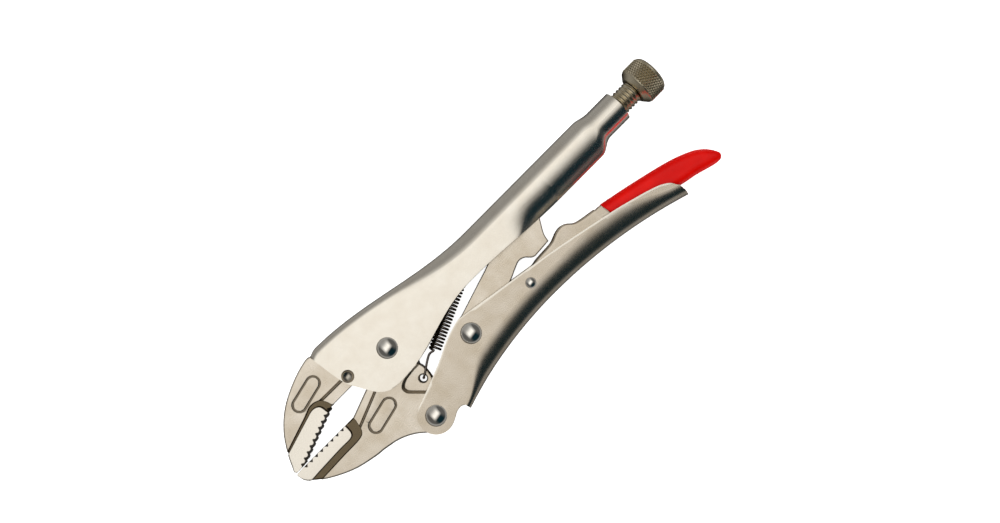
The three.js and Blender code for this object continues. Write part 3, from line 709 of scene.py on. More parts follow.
def upper_handle():
    """The fixed handle: flat cheeks at the jaws that roll in to a tube with a slit below."""
    flat_to = 28  # last column of the cheek, where the bend starts
    stations = np.unique(np.concatenate([
        np.linspace(FRONT_PATCH_END, TUBE_FROM, 30),
        np.linspace(TUBE_FROM, TUBE_FROM + ROLL_LENGTH, 12),
        np.linspace(TUBE_FROM + ROLL_LENGTH, SLIT_FROM, 5),
        np.linspace(SLIT_FROM, SLIT_FROM + CLOSING, 6),
        np.linspace(SLIT_FROM + CLOSING, TAPER_FROM, 10),
        np.linspace(TAPER_FROM, NECK_FROM, 12),
        np.linspace(NECK_FROM, HANDLE_END, 6),
    ]))
    rear = np.array([[(x, y, z) for z, y in upper_section(x)] for x in stations])
    first = upper_section(FRONT_PATCH_END)
    front_x = UPPER_LOW[0]
    share = np.linspace(0, 1, 24)
    top_x = front_x + share * (FRONT_PATCH_END - front_x)
    sections = [upper_section(x) for x in top_x]
    top_line = np.array([(x, s[flat_to][1]) for x, s in zip(top_x, sections)])
    rim_x = -7 + share * (FRONT_PATCH_END + 7)
    rim_line = np.array([(x, float(rim_y(x))) for x in rim_x])
    corner = np.vstack([
        through([(-7, CHEEK_BOTTOM), (-12.6, -14.2), (-16.7, -11.3), (-19.4, -7.3)]),
        through([
            (-22.4, -2.0), (-23.9, 0.7), (-25.6, 7), (-26.9, 16.5), (front_x, top_line[0, 1]),
        ]),
    ])
    end = np.array([(FRONT_PATCH_END, y) for z, y in first[: flat_to + 1]])
    shares = (end[:, 1] - end[0, 1]) / (end[-1, 1] - end[0, 1])
    cheek = raised(patch(evenly(corner, shares), end, rim_line, top_line), OUTER)
    over = np.array([
        [(x, y, z) for z, y in s[flat_to + 1 :]] for x, s in zip(top_x, sections)
    ])
    front = np.concatenate([cheek, over], axis=1)
    whole = np.concatenate([front, rear[1:]], axis=0)
    piece = pressed("upper_handle_channel", both_halves(whole, True), SHEET, PRESSED_EDGE)
    for side in (1, -1):
        cut(piece, ball((*PUNCH_MARK, side * (OUTER + PUNCH_LIFT)), PUNCH_BALL))
    cut(piece, pin((0, 0), SHANK_HOLE, 2 * OUTER + 4))
    rim_ahead = [(x, rim_y(x)) for x in (20, 30, 40, 50, 70)]
    edge_line = np.vstack([corner[::-1], rim_line, rim_ahead])
    # Painted shadow: a brown line on the cheeks' front and lower edges, where they stand over the
    # jaws.
    mark(piece, "recess", lambda xy: distance_to(xy, edge_line, False) < 0.7, 1.0)
    # Painted shade inside the punched dimple.
    mark(piece, "recess", lambda xy: np.hypot(*(xy - PUNCH_MARK).T) < PUNCH_SHADE, 0.5)
    even_normals(piece)
    return piece


def mark(piece, name, chosen, amount, least=0.02, most=2.0):
    """Marks the chosen points that lie from least to most under the outer face of the cheeks."""
    points = np.zeros(len(piece.data.vertices) * 3)
    piece.data.vertices.foreach_get("co", points)
    points = (points.reshape(-1, 3) - JAW_PIVOT_M) / MM
    deep = OUTER - np.abs(points[:, 2])
    marks = piece.data.attributes.get(name)
    if marks is None:
        marks = piece.data.attributes.new(name, "FLOAT", "POINT")
    values = np.zeros(len(points))
    marks.data.foreach_get("value", values)
    hit = chosen(points[:, :2]) & (deep > least) & (deep < most)
    marks.data.foreach_set("value", np.where(hit, amount, values))


def ball(centre, radius):
    """A cutting tool for a punched dimple."""
    a = np.linspace(0, math.pi, 25)
    profile = np.column_stack([centre[2] - radius * np.cos(a), radius * np.sin(a)])
    return turned("tool", profile, centre, segments=48)


def pin(centre, radius, length):
    """A cutting tool for a round hole through both cheeks."""
    h = length / 2
    return turned("tool", [(-h, 0), (-h, radius), (h, radius), (h, 0)], centre, segments=48)


# Lower handle. Its back is underneath, and its cheeks run on to a round front end.
WEB_FROM = 7.1
WEB_CREST = (70.0, -36.5)
WEB_BEND = 6.0
LOWER_END = LOWER_HIGH[0]
REAR_PATCH_FROM = 124
EYE_RADIUS = 8.6
FRONT_ARC, REAR_ARC = 213.0, 254.0  # radii of the back's long curve on each side of its crest


def web_y(x):
    """The underside of the lower handle's back, a long curve."""
    along = np.asarray(x, float) - WEB_CREST[0]
    radius = np.where(along < 0, FRONT_ARC, REAR_ARC)
    return WEB_CREST[1] - (radius - np.sqrt(radius**2 - along**2))


def web_bend(x):
    """Half the width that the bends take up between a cheek and the back."""
    return ease(x, WEB_FROM, 26, 2.6, WEB_BEND)


def web_tall(x):
    """How far up the cheek they reach: the back is pressed oval, and flatter at the rear."""
    return ease(x, WEB_FROM, 30, 2.6, 9.6) + ease(x, 75, 104, 0, 1.8) + ease(x, 116, 144, 0, -5.2)


LOWER_RIM = np.vstack([
    through([(-2.5, -26.7), (10.7, -21.6), (21, -16.8), (30, -13.9), (33.5, -13.8)])[:-1],
    through([(33.5, -13.8), (50, -16.6), (84, -22.2), (115, -28.6), (131.7, -33)])[:-1],
    through([(131.7, -33), (138.3, -35.3), (141.9, -37.4)]),
])


def lower_rim(x):
    """The upper edge of the lower handle's cheeks."""
    return np.interp(x, LOWER_RIM[:, 0], LOWER_RIM[:, 1])


def lower_handle():
    """The moving handle: a channel with an oval back and bare cheeks round its front pivot."""
    per_flat, per_bend, per_web = 20, 13, 3

    def bend_columns(x):
        """From the bend's start to the middle of the back at x, as points (x, y, z)."""
        r, tall, bottom = float(web_bend(x)), float(web_tall(x)), float(web_y(x))
        points = []
        for a in np.linspace(0, math.pi / 2, per_bend):
            points.append((x, bottom + tall - tall * math.sin(a), OUTER - r + r * math.cos(a)))
        points += [(x, bottom, z) for z in np.linspace(OUTER - r, 0, per_web + 1)[1:]]
        return np.array(points)

    columns = np.linspace(0, 1, per_flat)
    stations = np.concatenate([
        np.linspace(WEB_FROM, 30, 14)[:-1], np.linspace(30, REAR_PATCH_FROM, 46),
    ])
    bend_start = [(x, float(web_y(x) + web_tall(x))) for x in stations]
    rim = [(x, float(lower_rim(x))) for x in stations]
    flat = np.array([
        [(x, a[1] + (b[1] - a[1]) * t, OUTER) for t in columns]
        for x, a, b in zip(stations, bend_start, rim)
    ])
    bends = np.array([bend_columns(x) for x in stations])
    middle = np.concatenate([flat[:, ::-1], bends[:, 1:]], axis=1)

    # Rear end: the cheeks round off, and the back runs on a little behind them.
    share = np.linspace(0, 1, 14)
    low_x = REAR_PATCH_FROM + share * (LOWER_END - 0.8 - REAR_PATCH_FROM)
    low = np.column_stack([low_x, web_y(low_x) + web_tall(low_x)])
    high_x = REAR_PATCH_FROM + share * (LOWER_RIM[-1, 0] - REAR_PATCH_FROM)
    high = np.column_stack([high_x, lower_rim(high_x)])
    left = np.array([(x, y) for x, y, _z in flat[-1]])
    right = evenly(
        through([low[-1], (LOWER_END - 1.6, -40.9), (LOWER_END - 2.8, -38.7), high[-1]]), columns
    )
    rear_flat = raised(patch(left, right, low, high), OUTER)
    rear_bends = []
    for t, x in zip(share, low_x):
        points = bend_columns(x)[1:]
        reach = t * 0.8 * np.sin(np.linspace(0, math.pi / 2, len(points)))
        points[:, 0] += reach
        points[:, 1] += web_y(points[:, 0]) - web_y(x)
        rear_bends.append(points)
    rear = np.concatenate([rear_flat[:, ::-1], np.array(rear_bends)], axis=1)
    body = np.concatenate([middle, rear[1:]], axis=0)

    # Front end of each cheek, round the handle pivot, with a notch before the back starts.
    eye = evenly(arc(HANDLE_PIVOT, EYE_RADIUS, 292, 112, 3), columns)
    share = np.linspace(0, 1, 16)
    top_x = eye[-1][0] + share * (WEB_FROM - eye[-1][0])
    run_in = through([eye[-1], (-6.2, -28.1), LOWER_RIM[0]])
    rim_line = np.vstack([run_in[:-1], LOWER_RIM])
    high = np.column_stack([top_x, np.interp(top_x, rim_line[:, 0], rim_line[:, 1])])
    low = evenly(
        through([
            eye[0], (-0.4, -43.9), (1.6, -42.7), (3.6, -42.2), (5.4, -42.3), bend_start[0],
        ]),
        share,
    )
    front = raised(patch(eye, flat[0][:, :2], low, high), OUTER)
    grids = both_halves(body, True) + both_halves(front, False)
    piece = pressed("lower_handle_channel", grids, SHEET, PRESSED_EDGE)
    for centre, hole in (
        (HANDLE_PIVOT, SHANK_HOLE), (LINK_PIVOT, SHANK_HOLE), (LEVER_PIVOT, SMALL_SHANK_HOLE),
    ):
        cut(piece, pin(centre, hole, 2 * OUTER + 4))
    # Painted highlight: a bright line along the rim's edge.
    mark(piece, "ground", lambda xy: distance_to(xy, rim_line, False) < 0.75, 1.0, least=-1.0)
    even_normals(piece)
    return piece


# ---- Release lever and its grip ----

LEVER_SHEET = 1.5
LEVER_TOP = -19.3
FLANGE_END = 110.3
TONGUE_END = 140.0
TONGUE_HALF = 3.0
LEVER_BEND = 1.3
LEVER_EYE = 4.6
GRIP_FROM = GRIP_LOW[0]
GRIP_END = GRIP_HIGH[0]
GRIP_MOUTH = 0.024  # share of the grip's length over which its mouth is rounded
GRIP_CORNER = 3.9


def release_lever():
    """The lever: a narrow channel with a hump on top, and a flat tongue inside the grip."""
    dx, dy = LEVER_PIVOT
    top = through([
        (dx + 3.5, LEVER_TOP - 1.6), (dx + 9, LEVER_TOP - 0.3), (dx + 19, LEVER_TOP + 0.3),
        (dx + 24.2, -17.2), (dx + 27.5, -16.7), (dx + 30.2, -17.6), (dx + 33, -19.9),
        (dx + 37, -21.1), (FLANGE_END, -22.2),
    ])
    bend = LEVER_BEND
    stations = np.linspace(top[0, 0], FLANGE_END, 44)
    crest = np.interp(stations, top[:, 0], top[:, 1])
    bottom = ease(stations, dx, dx + 30, dy - LEVER_EYE, -29.6)
    rows = []
    for x, y, low in zip(stations, crest, bottom):
        points = [(x, v, LEVER_HALF) for v in np.linspace(low, y - bend, 10)]
        for a in np.linspace(0, math.pi / 2, 7)[1:]:
            z = LEVER_HALF - bend + bend * math.cos(a)
            points.append((x, y - bend + bend * math.sin(a), z))
        points += [(x, y, z) for z in np.linspace(LEVER_HALF - bend, 0, 4)[1:]]
        rows.append(points)
    body = np.array(rows)
    eye = evenly(arc((dx, dy), LEVER_EYE, 270, 90, 4), np.linspace(0, 1, 10))
    end = body[0][:10, :2]
    share = np.linspace(0, 1, 6)[:, None]
    low = eye[0] + share * (end[0] - eye[0])
    high = eye[-1] + share * (end[-1] - eye[-1])
    front = raised(patch(eye, end, low, high), LEVER_HALF)
    grids = both_halves(body, True) + both_halves(front, False)
    piece = pressed("release_lever_pressing", grids, LEVER_SHEET, 0.25)
    tongue = tapered_bar(
        "tongue",
        [
            (FLANGE_END - 3, -22.6, -30.4), (FLANGE_END + 3, -22.9, -31.2),
            (TONGUE_END, -29.2, -33.6),
        ],
        TONGUE_HALF, 0.8,
    )
    cut(piece, tongue, "UNION")
    cut(piece, pin(LEVER_PIVOT, SMALL_SHANK_HOLE, 2 * OUTER))
    even_normals(piece)
    return piece


def rounded_section(half, low, high, corner, steps=6):
    """A closed ring of (y, z) points round a rectangle with round corners."""
    corner = min(corner, half - 0.05, (high - low) / 2 - 0.05)
    ring = []
    for cy, cz, start in (
        (high - corner, half - corner, 0), (high - corner, -half + corner, 270),
        (low + corner, -half + corner, 180), (low + corner, half - corner, 90),
    ):
        for a in np.radians(np.linspace(start + 90, start, steps)):
            ring.append((cy + corner * math.cos(a), cz + corner * math.sin(a)))
    return ring


def tapered_bar(name, stations, half, corner):
    """A bar with a rounded rectangular section, through (x, top, bottom) stations."""
    return tube(name, [
        [(x, y, z) for y, z in rounded_section(half, low, high, corner)]
        for x, high, low in stations
    ])


def release_grip():
    """Soft red sleeve over the lever's tongue, with a slanted mouth and a rounded tail."""
    top = through([
        (GRIP_FROM, -22.6), (GRIP_FROM + 17.7, -26.3), (GRIP_END - 19.5, -30.8),
        (GRIP_END - 9.2, -34.7), (GRIP_END - 4.6, -37.6), (GRIP_END - 1.9, -40.6),
        (GRIP_END - 0.4, -43.6), (GRIP_END, -45.2),
    ])
    bottom = through([
        (GRIP_FROM + 1.6, -33.4), (GRIP_END - 24.5, -42.2), (GRIP_END - 14.5, -44.4),
        (GRIP_END - 6.0, -46.8), (GRIP_END - 3.2, -47.25), (GRIP_END - 1.3, -46.9),
        (GRIP_END, -45.2),
    ])
    half = CHANNEL - 0.6
    mouth_shares = [0, 0.004, 0.012, GRIP_MOUTH]
    tail_shares = 1 - 0.14 * np.linspace(1, 0, 22)[1:] ** 1.6
    shares = np.concatenate([mouth_shares, np.linspace(0.04, 0.86, 40), tail_shares])
    highs, lows = evenly(top, shares), evenly(bottom, shares)
    rings = []
    for share, high, low in zip(shares, highs, lows):
        mouth = 0.93 + 0.07 * math.sin(math.pi / 2 * min(share / GRIP_MOUTH, 1))
        tail = math.sqrt(max(1 - max((share - 0.9) / 0.1, 0) ** 2.2, 0))
        width = half * mouth * (0.55 + 0.45 * tail) if share < 1 else 0.02
        centre = (high + low) / 2
        along = (high - low) / 2 * mouth
        reach = np.linalg.norm(along)
        ring = []
        corner = GRIP_CORNER * (0.5 + 0.5 * tail)
        for y, z in rounded_section(width, -reach, reach, corner, steps=8):
            x2, y2 = centre + along * (y / max(reach, 1e-6))
            ring.append((x2, y2, z))
        rings.append(ring)
    piece = tube("release_grip_sleeve", rings)
    even_normals(piece, 50)
    return piece


# ---- Screw, knob, spring and rivets ----

THREAD_PITCH = 25.4 / 14  # fourteen turns to the inch
THREAD_DEPTH = 0.6
SCREW_RADIUS = SCREW_HIGH[2]
TIP_CHAMFER = 1.2


def adjusting_screw():
    """A right-hand thread cut along the whole shank, with flat crests and roots."""
    around, per_pitch = 48, 12  # steps round the shank, and along each turn of the thread
    x = np.arange(SCREW_LOW[0], SCREW_HIGH[0] + 0.01, THREAD_PITCH / per_pitch)
    a = np.linspace(0, 2 * math.pi, around, endpoint=False)
    turn = (x[None] / THREAD_PITCH - a[:, None] / (2 * math.pi)) % 1
    flank = np.clip(np.abs(turn - 0.5) * 2.9 - 0.18, 0, 1)
    start = np.clip((x - SCREW_LOW[0]) / TIP_CHAMFER, 0, 1)
    radius = SCREW_RADIUS - THREAD_DEPTH * flank
    radius = np.minimum(radius, SCREW_RADIUS - TIP_CHAMFER + TIP_CHAMFER * start)
    capped = np.pad(radius, ((0, 0), (1, 1)))
    along = np.concatenate([x[:1], x, x[-1:]])
    return around_axis(
        "adjusting_screw_thread", along, capped, (0, SCREW_Y, 0), "x", smooth_below=35
    )


KNURL_PITCH = 1.45
KNURL_DEPTH = 0.55
KNURL_SLANT = math.tan(math.radians(30)) * 1.15
# Painted shade: how brown the knurl's grooves are tinted.
KNURL_SHADE = 0.55


def adjusting_knob():
    """A turned knob with a diamond knurl: two sets of crossing V grooves on a slant."""
    low, high = KNOB_LOW[0], KNOB_HIGH[0]
    radius = KNOB_HIGH[2]
    knurl_from, knurl_to = low + 2.5, high - 1.7
    turns = round(2 * math.pi * radius / KNURL_PITCH / 2) * 2
    around = turns * 10
    front = fillet_profile([
        (low, 0), (low, radius - 3.1), (low + 2.1, radius - 0.55),
        (knurl_from - 0.1, radius - 0.45),
    ], 0.3)
    back = fillet_profile([
        (knurl_to + 0.1, radius - 0.5), (high - 1.1, radius - 0.6), (high - 0.35, radius - 1.5),
        (high - 0.1, radius - 3.2), (high, 0),
    ], 0.35)
    knurl_x = np.arange(knurl_from, knurl_to + 1e-6, 0.12)
    x = np.concatenate([front[:, 0], knurl_x, back[:, 0]])
    r = np.concatenate([front[:, 1], np.full(len(knurl_x), radius), back[:, 1]])
    a = np.linspace(0, 2 * math.pi, around, endpoint=False)[:, None]
    slant = (x[None] - knurl_from) / KNURL_PITCH * KNURL_SLANT
    grooves = []
    for way in (1, -1):
        phase = (a / (2 * math.pi) * turns + way * slant) % 1
        grooves.append(np.clip(1 - np.abs(phase - 0.5) * 2.6, 0, 1))
    groove = np.maximum(*grooves)
    fade = smooth_step((x - knurl_from) / 0.5) * smooth_step((knurl_to - x) / 0.5)
    knurled = (x > knurl_from - 0.05) & (x < knurl_to + 0.05)
    worn = 0.5 * (1 - fade)
    radii = r[None] - np.where(knurled, KNURL_DEPTH * groove * fade + worn, 0)
    # Painted shade in the knurl's grooves, read by the material as its brown tint.
    knurl_shade = np.where(knurled, KNURL_SHADE * groove * fade, 0)
    return around_axis(
        "adjusting_knob_knurled", x, radii, (0, SCREW_Y, 0), "x", smooth_below=30, recess=knurl_shade
    )


WIRE_RADIUS = 0.55
COIL_RADIUS = 2.45
ANCHOR = node_box("spring_anchor")
ANCHOR_XY = ((ANCHOR[0] + ANCHOR[1]) / 2)[:2]
COIL_FRONT = np.array([13.4, -15.9])
COIL_PITCH = 1.62


def round_wire(name, path, radius, sides=12):
    """A round wire along 3-D points, with closed ends."""
    path = np.asarray(path, float)
    tangents = np.gradient(path, axis=0)
    tangents /= np.linalg.norm(tangents, axis=1)[:, None]
    across = np.cross(tangents[0], (0, 0, 1.0))
    if np.linalg.norm(across) < 1e-3:
        across = np.cross(tangents[0], (1.0, 0, 0))
    rings = []
    a = np.linspace(0, 2 * math.pi, sides, endpoint=False)
    for point, tangent in zip(path, tangents):
        across = across - tangent * (across @ tangent)
        across /= np.linalg.norm(across)
        up = np.cross(tangent, across)
        rings.append(point + radius * (np.cos(a)[:, None] * across + np.sin(a)[:, None] * up))
    return tube(name, rings)


def jaw_spring():
    """Extension spring: hook through the ear, close coils, and a loop on the anchor pin."""
    axis = np.append(ANCHOR_XY - COIL_FRONT, 0)
    reach = np.linalg.norm(axis) - 5
    axis /= np.linalg.norm(axis)
    side = np.cross((0, 0, 1.0), axis)
    turns = int(reach / COIL_PITCH)
    a = np.linspace(0, 2 * math.pi * turns, turns * 28 + 1)[:, None]
    start = np.append(COIL_FRONT, 0)
    coil = (
        start + axis * (a / (2 * math.pi) * COIL_PITCH)
        + COIL_RADIUS * (np.sin(a) * side + np.cos(a) * np.array([0, 0, 1.0]))
    )
    hx, hy = SPRING_HOLE
    over = EAR_HALF + WIRE_RADIUS + 0.1
    front = through([
        (hx - 0.1, hy - 0.2, -EAR_HALF - 0.4), (hx, hy, 0), (hx + 0.9, hy + 0.3, over * 0.85),
        (hx + 3.2, hy + 1.7, over + 0.1), (hx + 7, hy + 4.3, over),
        tuple(coil[0] - axis * 2.2 + side * 1.4), tuple(coil[0]),
    ])
    pin_radius = (ANCHOR[1] - ANCHOR[0])[0] / 2 + WIRE_RADIUS + 0.15
    middle = np.append(ANCHOR_XY, 0)
    loop = [
        middle + pin_radius * (math.cos(t) * axis + math.sin(t) * side)
        for t in np.linspace(math.radians(150), math.radians(-120), 12)
    ]
    run_out = coil[-1] + axis * 1.6 - np.array([0, 0, 1.6])
    rear = through([coil[-1], run_out, *loop], per=6)
    return round_wire("jaw_spring_wire", np.vstack([front[:-1], coil, rear[1:]]), WIRE_RADIUS)


RIVET_RIM = 0.15  # the upright edge of a rivet head
SHANK, SMALL_SHANK = 3.2, 1.6  # radii of the rivets' shanks


def rivet(node_name, shank):
    """A rivet with a polished head on each side, part of a ball, seated on the cheeks."""
    low, high = node_box(node_name)
    centre, head = (low + high) / 2, (high - low)[0] / 2
    seat = OUTER + 0.02
    height = high[2] - seat - RIVET_RIM
    ball_radius = (head**2 + height**2) / (2 * height)
    ball_centre = high[2] - ball_radius
    dome = [(seat, shank), (seat, head - 0.1), (seat + RIVET_RIM, head)]
    for t in np.linspace(math.asin(head / ball_radius), 0, 20)[1:]:
        dome.append((ball_centre + ball_radius * math.cos(t), ball_radius * math.sin(t)))
    profile = [(-z, r) for z, r in reversed(dome)] + dome
    return turned(node_name + "_domed", profile, centre)


# ---- Materials ----


def srgb(text):
    """A hex colour as linear RGBA."""
    values = [int(text[i : i + 2], 16) / 255 for i in (0, 2, 4)]
    linear = [v / 12.92 if v <= 0.04045 else ((v + 0.055) / 1.055) ** 2.4 for v in values]
    return (*linear, 1.0)


def node(tree, kind, values=None, links=None, **settings):
    """Adds a shader node with its settings, input values and links."""
    made = tree.nodes.new(kind)
    for key, value in settings.items():
        setattr(made, key, value)
    for key, value in (values or {}).items():
        made.inputs[key].default_value = value
    for key, source in (links or {}).items():
        tree.links.new(source, made.inputs[key])
    return made


def new_material(name):
    material = bpy.data.materials.new(name)
    material.use_nodes = True
    tree = material.node_tree
    tree.nodes.clear()
    shader = node(tree, "ShaderNodeBsdfPrincipled")
    node(tree, "ShaderNodeOutputMaterial", links={"Surface": shader.outputs["BSDF"]})
    place = node(tree, "ShaderNodeTexCoord").outputs["Object"]
    return material, tree, shader, place


def noise(tree, place, size_mm, detail=3, roughness=0.55):
    """Noise whose features are about size_mm across."""
    return node(
        tree, "ShaderNodeTexNoise",
        {"Scale": 1 / (size_mm * MM), "Detail": detail, "Roughness": roughness},
        {"Vector": place},
    ).outputs["Fac"]


def spread(tree, factor, low, high, out_low, out_high):
    """Takes the range from low to high to the range from out_low to out_high."""
    return node(
        tree, "ShaderNodeMapRange",
        {"From Min": low, "From Max": high, "To Min": out_low, "To Max": out_high},
        {"Value": factor},
    ).outputs["Result"]


def mix_colours(tree, factor, low, high):
    """Mixes two colours, each a constant or the output of another node."""
    made = node(tree, "ShaderNodeMix", links={"Factor": factor}, data_type="RGBA")
    for socket, value in (("A", low), ("B", high)):
        if isinstance(value, tuple):
            made.inputs[socket].default_value = value
        else:
            tree.links.new(value, made.inputs[socket])
    return made.outputs["Result"]


# Brown of tarnish in grooves, also painted shade in corners, dimples, knurls and along the cheeks'
# edges.
TARNISH_AND_SHADE_BROWN = "6B5E49"
# Bright of ground lands, also a painted highlight along the lower handle's rim.
GROUND_AND_HIGHLIGHT_BRIGHT = "F8F0E1"
CLOUD_MM = 9
# light and dark colour, roughness, width and depth of the grain in millimetres
FINISHES = {
    # smooth rolled sheet under the plate: an almost even satin
    "satin_nickel_sheet": ("F2EBDD", "EBE2D2", 0.22, 0.35, 0.005),
    # coarser sheet: the grain breaks up its reflections
    "grained_nickel_sheet": ("DCD0BE", "CEC0AA", 0.27, 0.5, 0.018),
    # blasted forging: soft and a little darker in clouds
    "satin_nickel_forging": ("E9DECD", "D4C6B0", 0.28, 0.5, 0.014),
    # peened and polished heads: close to a mirror
    "polished_rivet_steel": ("FFFBF2", "F8F1E4", 0.09, 0.4, 0.001),
    # turned steel with a thin, brownish plate
    "brown_nickel_turned": ("DCD0B6", "C6B898", 0.26, 0.3, 0.004),
    # oiled music wire: dark, with narrow glints
    "dark_spring_wire": ("8A8178", "6E665F", 0.25, 0.3, 0.003),
}


def plated_steel(name, light, dark, roughness, grain_mm, grain_depth_mm):
    """Nickel plate on blasted steel: warm grey metal with a fine satin grain and faint clouds.

    Grooves hold brown tarnish, and the same brown is painted shade in corners, dimples,
    knurl grooves and along the cheeks' edges. Ground lands shine, and the same bright is a
    painted highlight along the lower handle's rim. The grain is drawn a few times coarser
    than the real one, so that it shows.
    """
    material, tree, shader, place = new_material(name)
    clouds = noise(tree, place, CLOUD_MM, detail=4)
    grain = noise(tree, place, grain_mm, detail=2, roughness=0.7)
    tone = spread(tree, clouds, 0.3, 0.7, 0, 1)
    colour = mix_colours(tree, tone, srgb(dark), srgb(light))
    recess = node(tree, "ShaderNodeAttribute", attribute_name="recess").outputs["Fac"]
    ground = node(tree, "ShaderNodeAttribute", attribute_name="ground").outputs["Fac"]
    ground_bright = mix_colours(tree, ground, colour, srgb(GROUND_AND_HIGHLIGHT_BRIGHT))
    tarnished_and_shaded = mix_colours(tree, recess, ground_bright, srgb(TARNISH_AND_SHADE_BROWN))
    rough = spread(tree, grain, 0.3, 0.7, roughness - 0.05, roughness + 0.06)
    depth = {"Strength": 0.5, "Distance": grain_depth_mm * MM}
    bump = node(tree, "ShaderNodeBump", depth, {"Height": grain})
    shader.inputs["Metallic"].default_value = 1.0
    tree.links.new(tarnished_and_shaded, shader.inputs["Base Color"])
    tree.links.new(rough, shader.inputs["Roughness"])
    tree.links.new(bump.outputs["Normal"], shader.inputs["Normal"])
    return material


def red_vinyl():
    """Dipped PVC: saturated red, soft gloss and a faint orange-peel surface."""
    material, tree, shader, place = new_material("dipped_red_vinyl")
    peel = noise(tree, place, 1.4, detail=2)
    bump = node(tree, "ShaderNodeBump", {"Strength": 0.4, "Distance": 0.02 * MM}, {"Height": peel})
    tone = spread(tree, noise(tree, place, 12), 0.3, 0.7, 0, 1)
    colour = mix_colours(tree, tone, srgb("D60500"), srgb("EA0D02"))
    tree.links.new(colour, shader.inputs["Base Color"])
    tree.links.new(bump.outputs["Normal"], shader.inputs["Normal"])
    shader.inputs["Roughness"].default_value = 0.34
    shader.inputs["Specular IOR Level"].default_value = 0.14
    return material


def make_materials():
    paint = {name: plated_steel(name, *finish) for name, finish in FINISHES.items()}
    paint["dipped_red_vinyl"] = red_vinyl()
    return paint


# ---- Stage, light and camera ----

VIEW_TURN = math.radians(-45.2)
VIEW_CENTRE = (63.5, -8.6, 4.0)
VIEW_WIDTH = 455.4
VIEW_DISTANCE = 380.0
SENSOR = 36.0
FLOOR_HALF_M = 3.0


def camera():
    """Looks straight down on the tool, which lies slanting across the view."""
    data = bpy.data.cameras.new("camera")
    data.sensor_width = SENSOR
    data.lens = SENSOR * VIEW_DISTANCE / VIEW_WIDTH
    data.clip_start, data.clip_end = 0.01, 20
    viewer = bpy.data.objects.new("camera", data)
    x, y, z = to_frame(VIEW_CENTRE)
    viewer.location = (x, y, z + VIEW_DISTANCE * MM)
    viewer.rotation_euler = (0, 0, VIEW_TURN)
    bpy.context.scene.collection.objects.link(viewer)
    bpy.context.scene.camera = viewer


def floor():
    """A plain pale floor, lit a little from within so that it stays even and white."""
    mesh = bpy.data.meshes.new("floor")
    corners = [(-1, -1, 0), (1, -1, 0), (1, 1, 0), (-1, 1, 0)]
    mesh.from_pydata((FLOOR_HALF_M * np.array(corners)).tolist(), [], [(0, 1, 2, 3)])
    plane = bpy.data.objects.new("floor", mesh)
    bpy.context.scene.collection.objects.link(plane)
    material, tree, shader, _place = new_material("pale_matt_floor")
    shader.inputs["Base Color"].default_value = srgb("FBFBFB")
    shader.inputs["Roughness"].default_value = 0.9
    shader.inputs["Specular IOR Level"].default_value = 0.1
    shader.inputs["Emission Color"].default_value = (1, 1, 1, 1)
    shader.inputs["Emission Strength"].default_value = 0.85
    mesh.materials.append(material)
    plane.visible_glossy = False  # the metal mirrors the tent alone


WASH_HEIGHT_M, WASH_SIZE_M, WASH_POWER = 1.6, 2.6, 24


def floor_wash():
    """A wide lamp straight above, which the metal doesn't mirror."""
    data = bpy.data.lights.new("floor_wash", "AREA")
    data.size = WASH_SIZE_M
    data.energy = WASH_POWER
    lamp = bpy.data.objects.new("floor_wash", data)
    lamp.location = (0, 0, WASH_HEIGHT_M)
    lamp.visible_glossy = False
    bpy.context.scene.collection.objects.link(lamp)


BRIGHT_SIDE = (-0.15, 0.99, 0.0)
# brightness of the tent's roof against how far a direction leans to its bright side
ROOF = [
    (-0.5, 0.0), (-0.42, 0.12), (-0.28, 0.42), (-0.12, 0.86), (0.0, 1.08), (0.2, 1.08),
    (0.4, 0.88), (0.56, 0.6), (0.7, 0.4), (0.85, 0.3), (1.0, 0.28),
]
RIM_LIGHT = 0.32  # the tent at the height of the tool
END_LIGHT = 0.1  # the roof at its two ends, along the tool
UNDER_LIGHT = 0.02  # straight below it
DARK_SIDE = (0.004, 0.018, 0.026, 1)  # the black side is a little blue


def grey(value):
    """An even grey as linear RGBA."""
    return (value, value, value, 1)


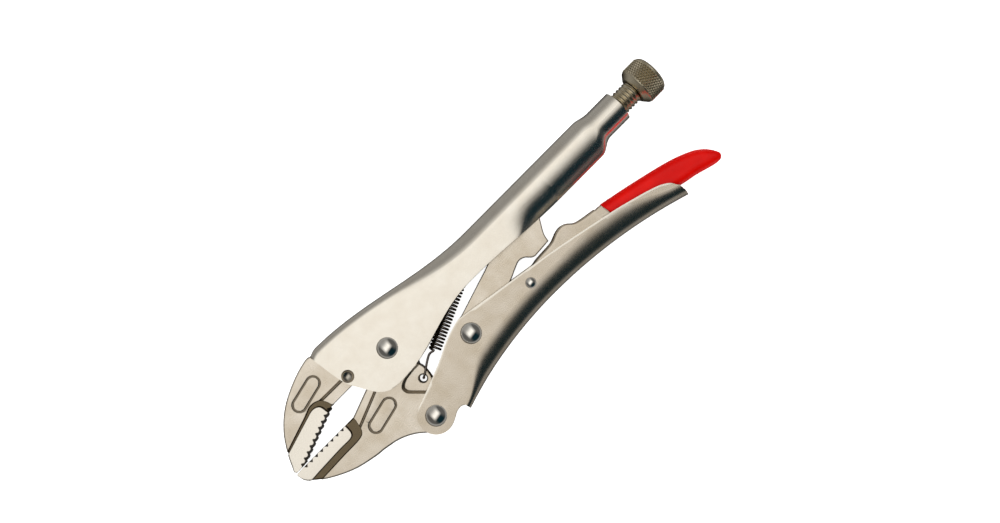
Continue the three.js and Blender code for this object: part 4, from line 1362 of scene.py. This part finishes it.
def studio():
    """A light tent: a bright strip overhead, a black one beside it and a grey rim all round."""
    world = bpy.data.worlds.new("studio")
    bpy.context.scene.world = world
    world.use_nodes = True
    tree = world.node_tree
    tree.nodes.clear()
    direction = node(tree, "ShaderNodeTexCoord").outputs["Generated"]
    parts = node(tree, "ShaderNodeSeparateXYZ", links={"Vector": direction}).outputs
    lean = node(
        tree, "ShaderNodeVectorMath", {1: BRIGHT_SIDE}, {0: direction}, operation="DOT_PRODUCT"
    )
    towards = lean.outputs["Value"]
    ramp = node(tree, "ShaderNodeValToRGB", links={"Fac": spread(tree, towards, -1, 1, 0, 1)})
    stops = ramp.color_ramp.elements
    stops.remove(stops[0])
    for i, (leaning, value) in enumerate(ROOF):
        stop = stops[0] if i == 0 else stops.new((leaning + 1) / 2)
        stop.position = (leaning + 1) / 2
        stop.color = grey(value)
    past_dark = spread(tree, towards, -0.52, -0.4, 0, 1)
    lit = mix_colours(tree, past_dark, DARK_SIDE, ramp.outputs["Color"])
    along = node(tree, "ShaderNodeMath", links={0: parts["X"], 1: parts["X"]}, operation="MULTIPLY")
    ends = spread(tree, along.outputs["Value"], 0.12, 0.5, 0, 1)
    roof = mix_colours(tree, ends, lit, grey(END_LIGHT))
    over_rim = spread(tree, parts["Z"], 0.02, 0.26, 0, 1)
    above = mix_colours(tree, over_rim, grey(RIM_LIGHT), roof)
    below = spread(tree, parts["Z"], -0.35, -0.9, 0, 1)
    whole = mix_colours(tree, below, above, grey(UNDER_LIGHT))
    sky = node(tree, "ShaderNodeBackground", {"Strength": 1.0}, {"Color": whole})
    node(tree, "ShaderNodeOutputWorld", links={"Surface": sky.outputs["Background"]})


# ---- Putting it together ----


def dress(piece, material, body, slot, *nodes):
    """Gives a piece its material and the body it rides, and hides the nodes it replaces; its slot
    is not used.
    """
    piece.data.materials.clear()
    piece.data.materials.append(material)
    if body:
        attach(piece, body)
    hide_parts(*nodes)


def build():
    paint = make_materials()
    sheet, grained = paint["satin_nickel_sheet"], paint["grained_nickel_sheet"]
    forging, polished = paint["satin_nickel_forging"], paint["polished_rivet_steel"]
    dress(upper_handle(), sheet, "upper_body", "nickel_sheet", "upper_handle")
    dress(fixed_jaw(), forging, "upper_body", "nickel_forging", "fixed_jaw")
    dress(movable_jaw(), forging, "jaw_body", "nickel_forging", "movable_jaw")
    dress(lower_handle(), grained, "lower_body", "nickel_sheet", "lower_handle")
    dress(toggle_link(), forging, "link_body", "nickel_forging", "toggle_link")
    dress(release_lever(), grained, "lever_body", "nickel_sheet", "release_lever")
    dress(release_grip(), paint["dipped_red_vinyl"], "lever_body", "red_vinyl", "release_grip")
    turned_steel = paint["brown_nickel_turned"]
    dress(adjusting_screw(), turned_steel, "screw_body", "screw_steel", "adjusting_screw")
    dress(adjusting_knob(), turned_steel, "knob_body", "screw_steel", "adjusting_knob")
    spring = jaw_spring()
    dress(spring, paint["dark_spring_wire"], None, "spring_wire", "jaw_spring")
    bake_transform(spring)
    for name, shank, body in (
        ("jaw_pivot_rivet", SHANK, "upper_body"),
        ("handle_pivot_rivet", SHANK, "lower_body"),
        ("link_pivot_rivet", SHANK, "lower_body"),
        ("lever_pivot_rivet", SMALL_SHANK, "lower_body"),
    ):
        dress(rivet(name, shank), polished, body, "rivet_steel", name)
    # The anchor pin keeps its plain shape: the cheeks hide it.
    anchor = frame["nodes"]["spring_anchor"]
    anchor.data.materials.clear()
    anchor.data.materials.append(polished)


camera()
floor()
studio()
floor_wash()
build()
bpy.context.scene.view_settings.view_transform = "Standard"
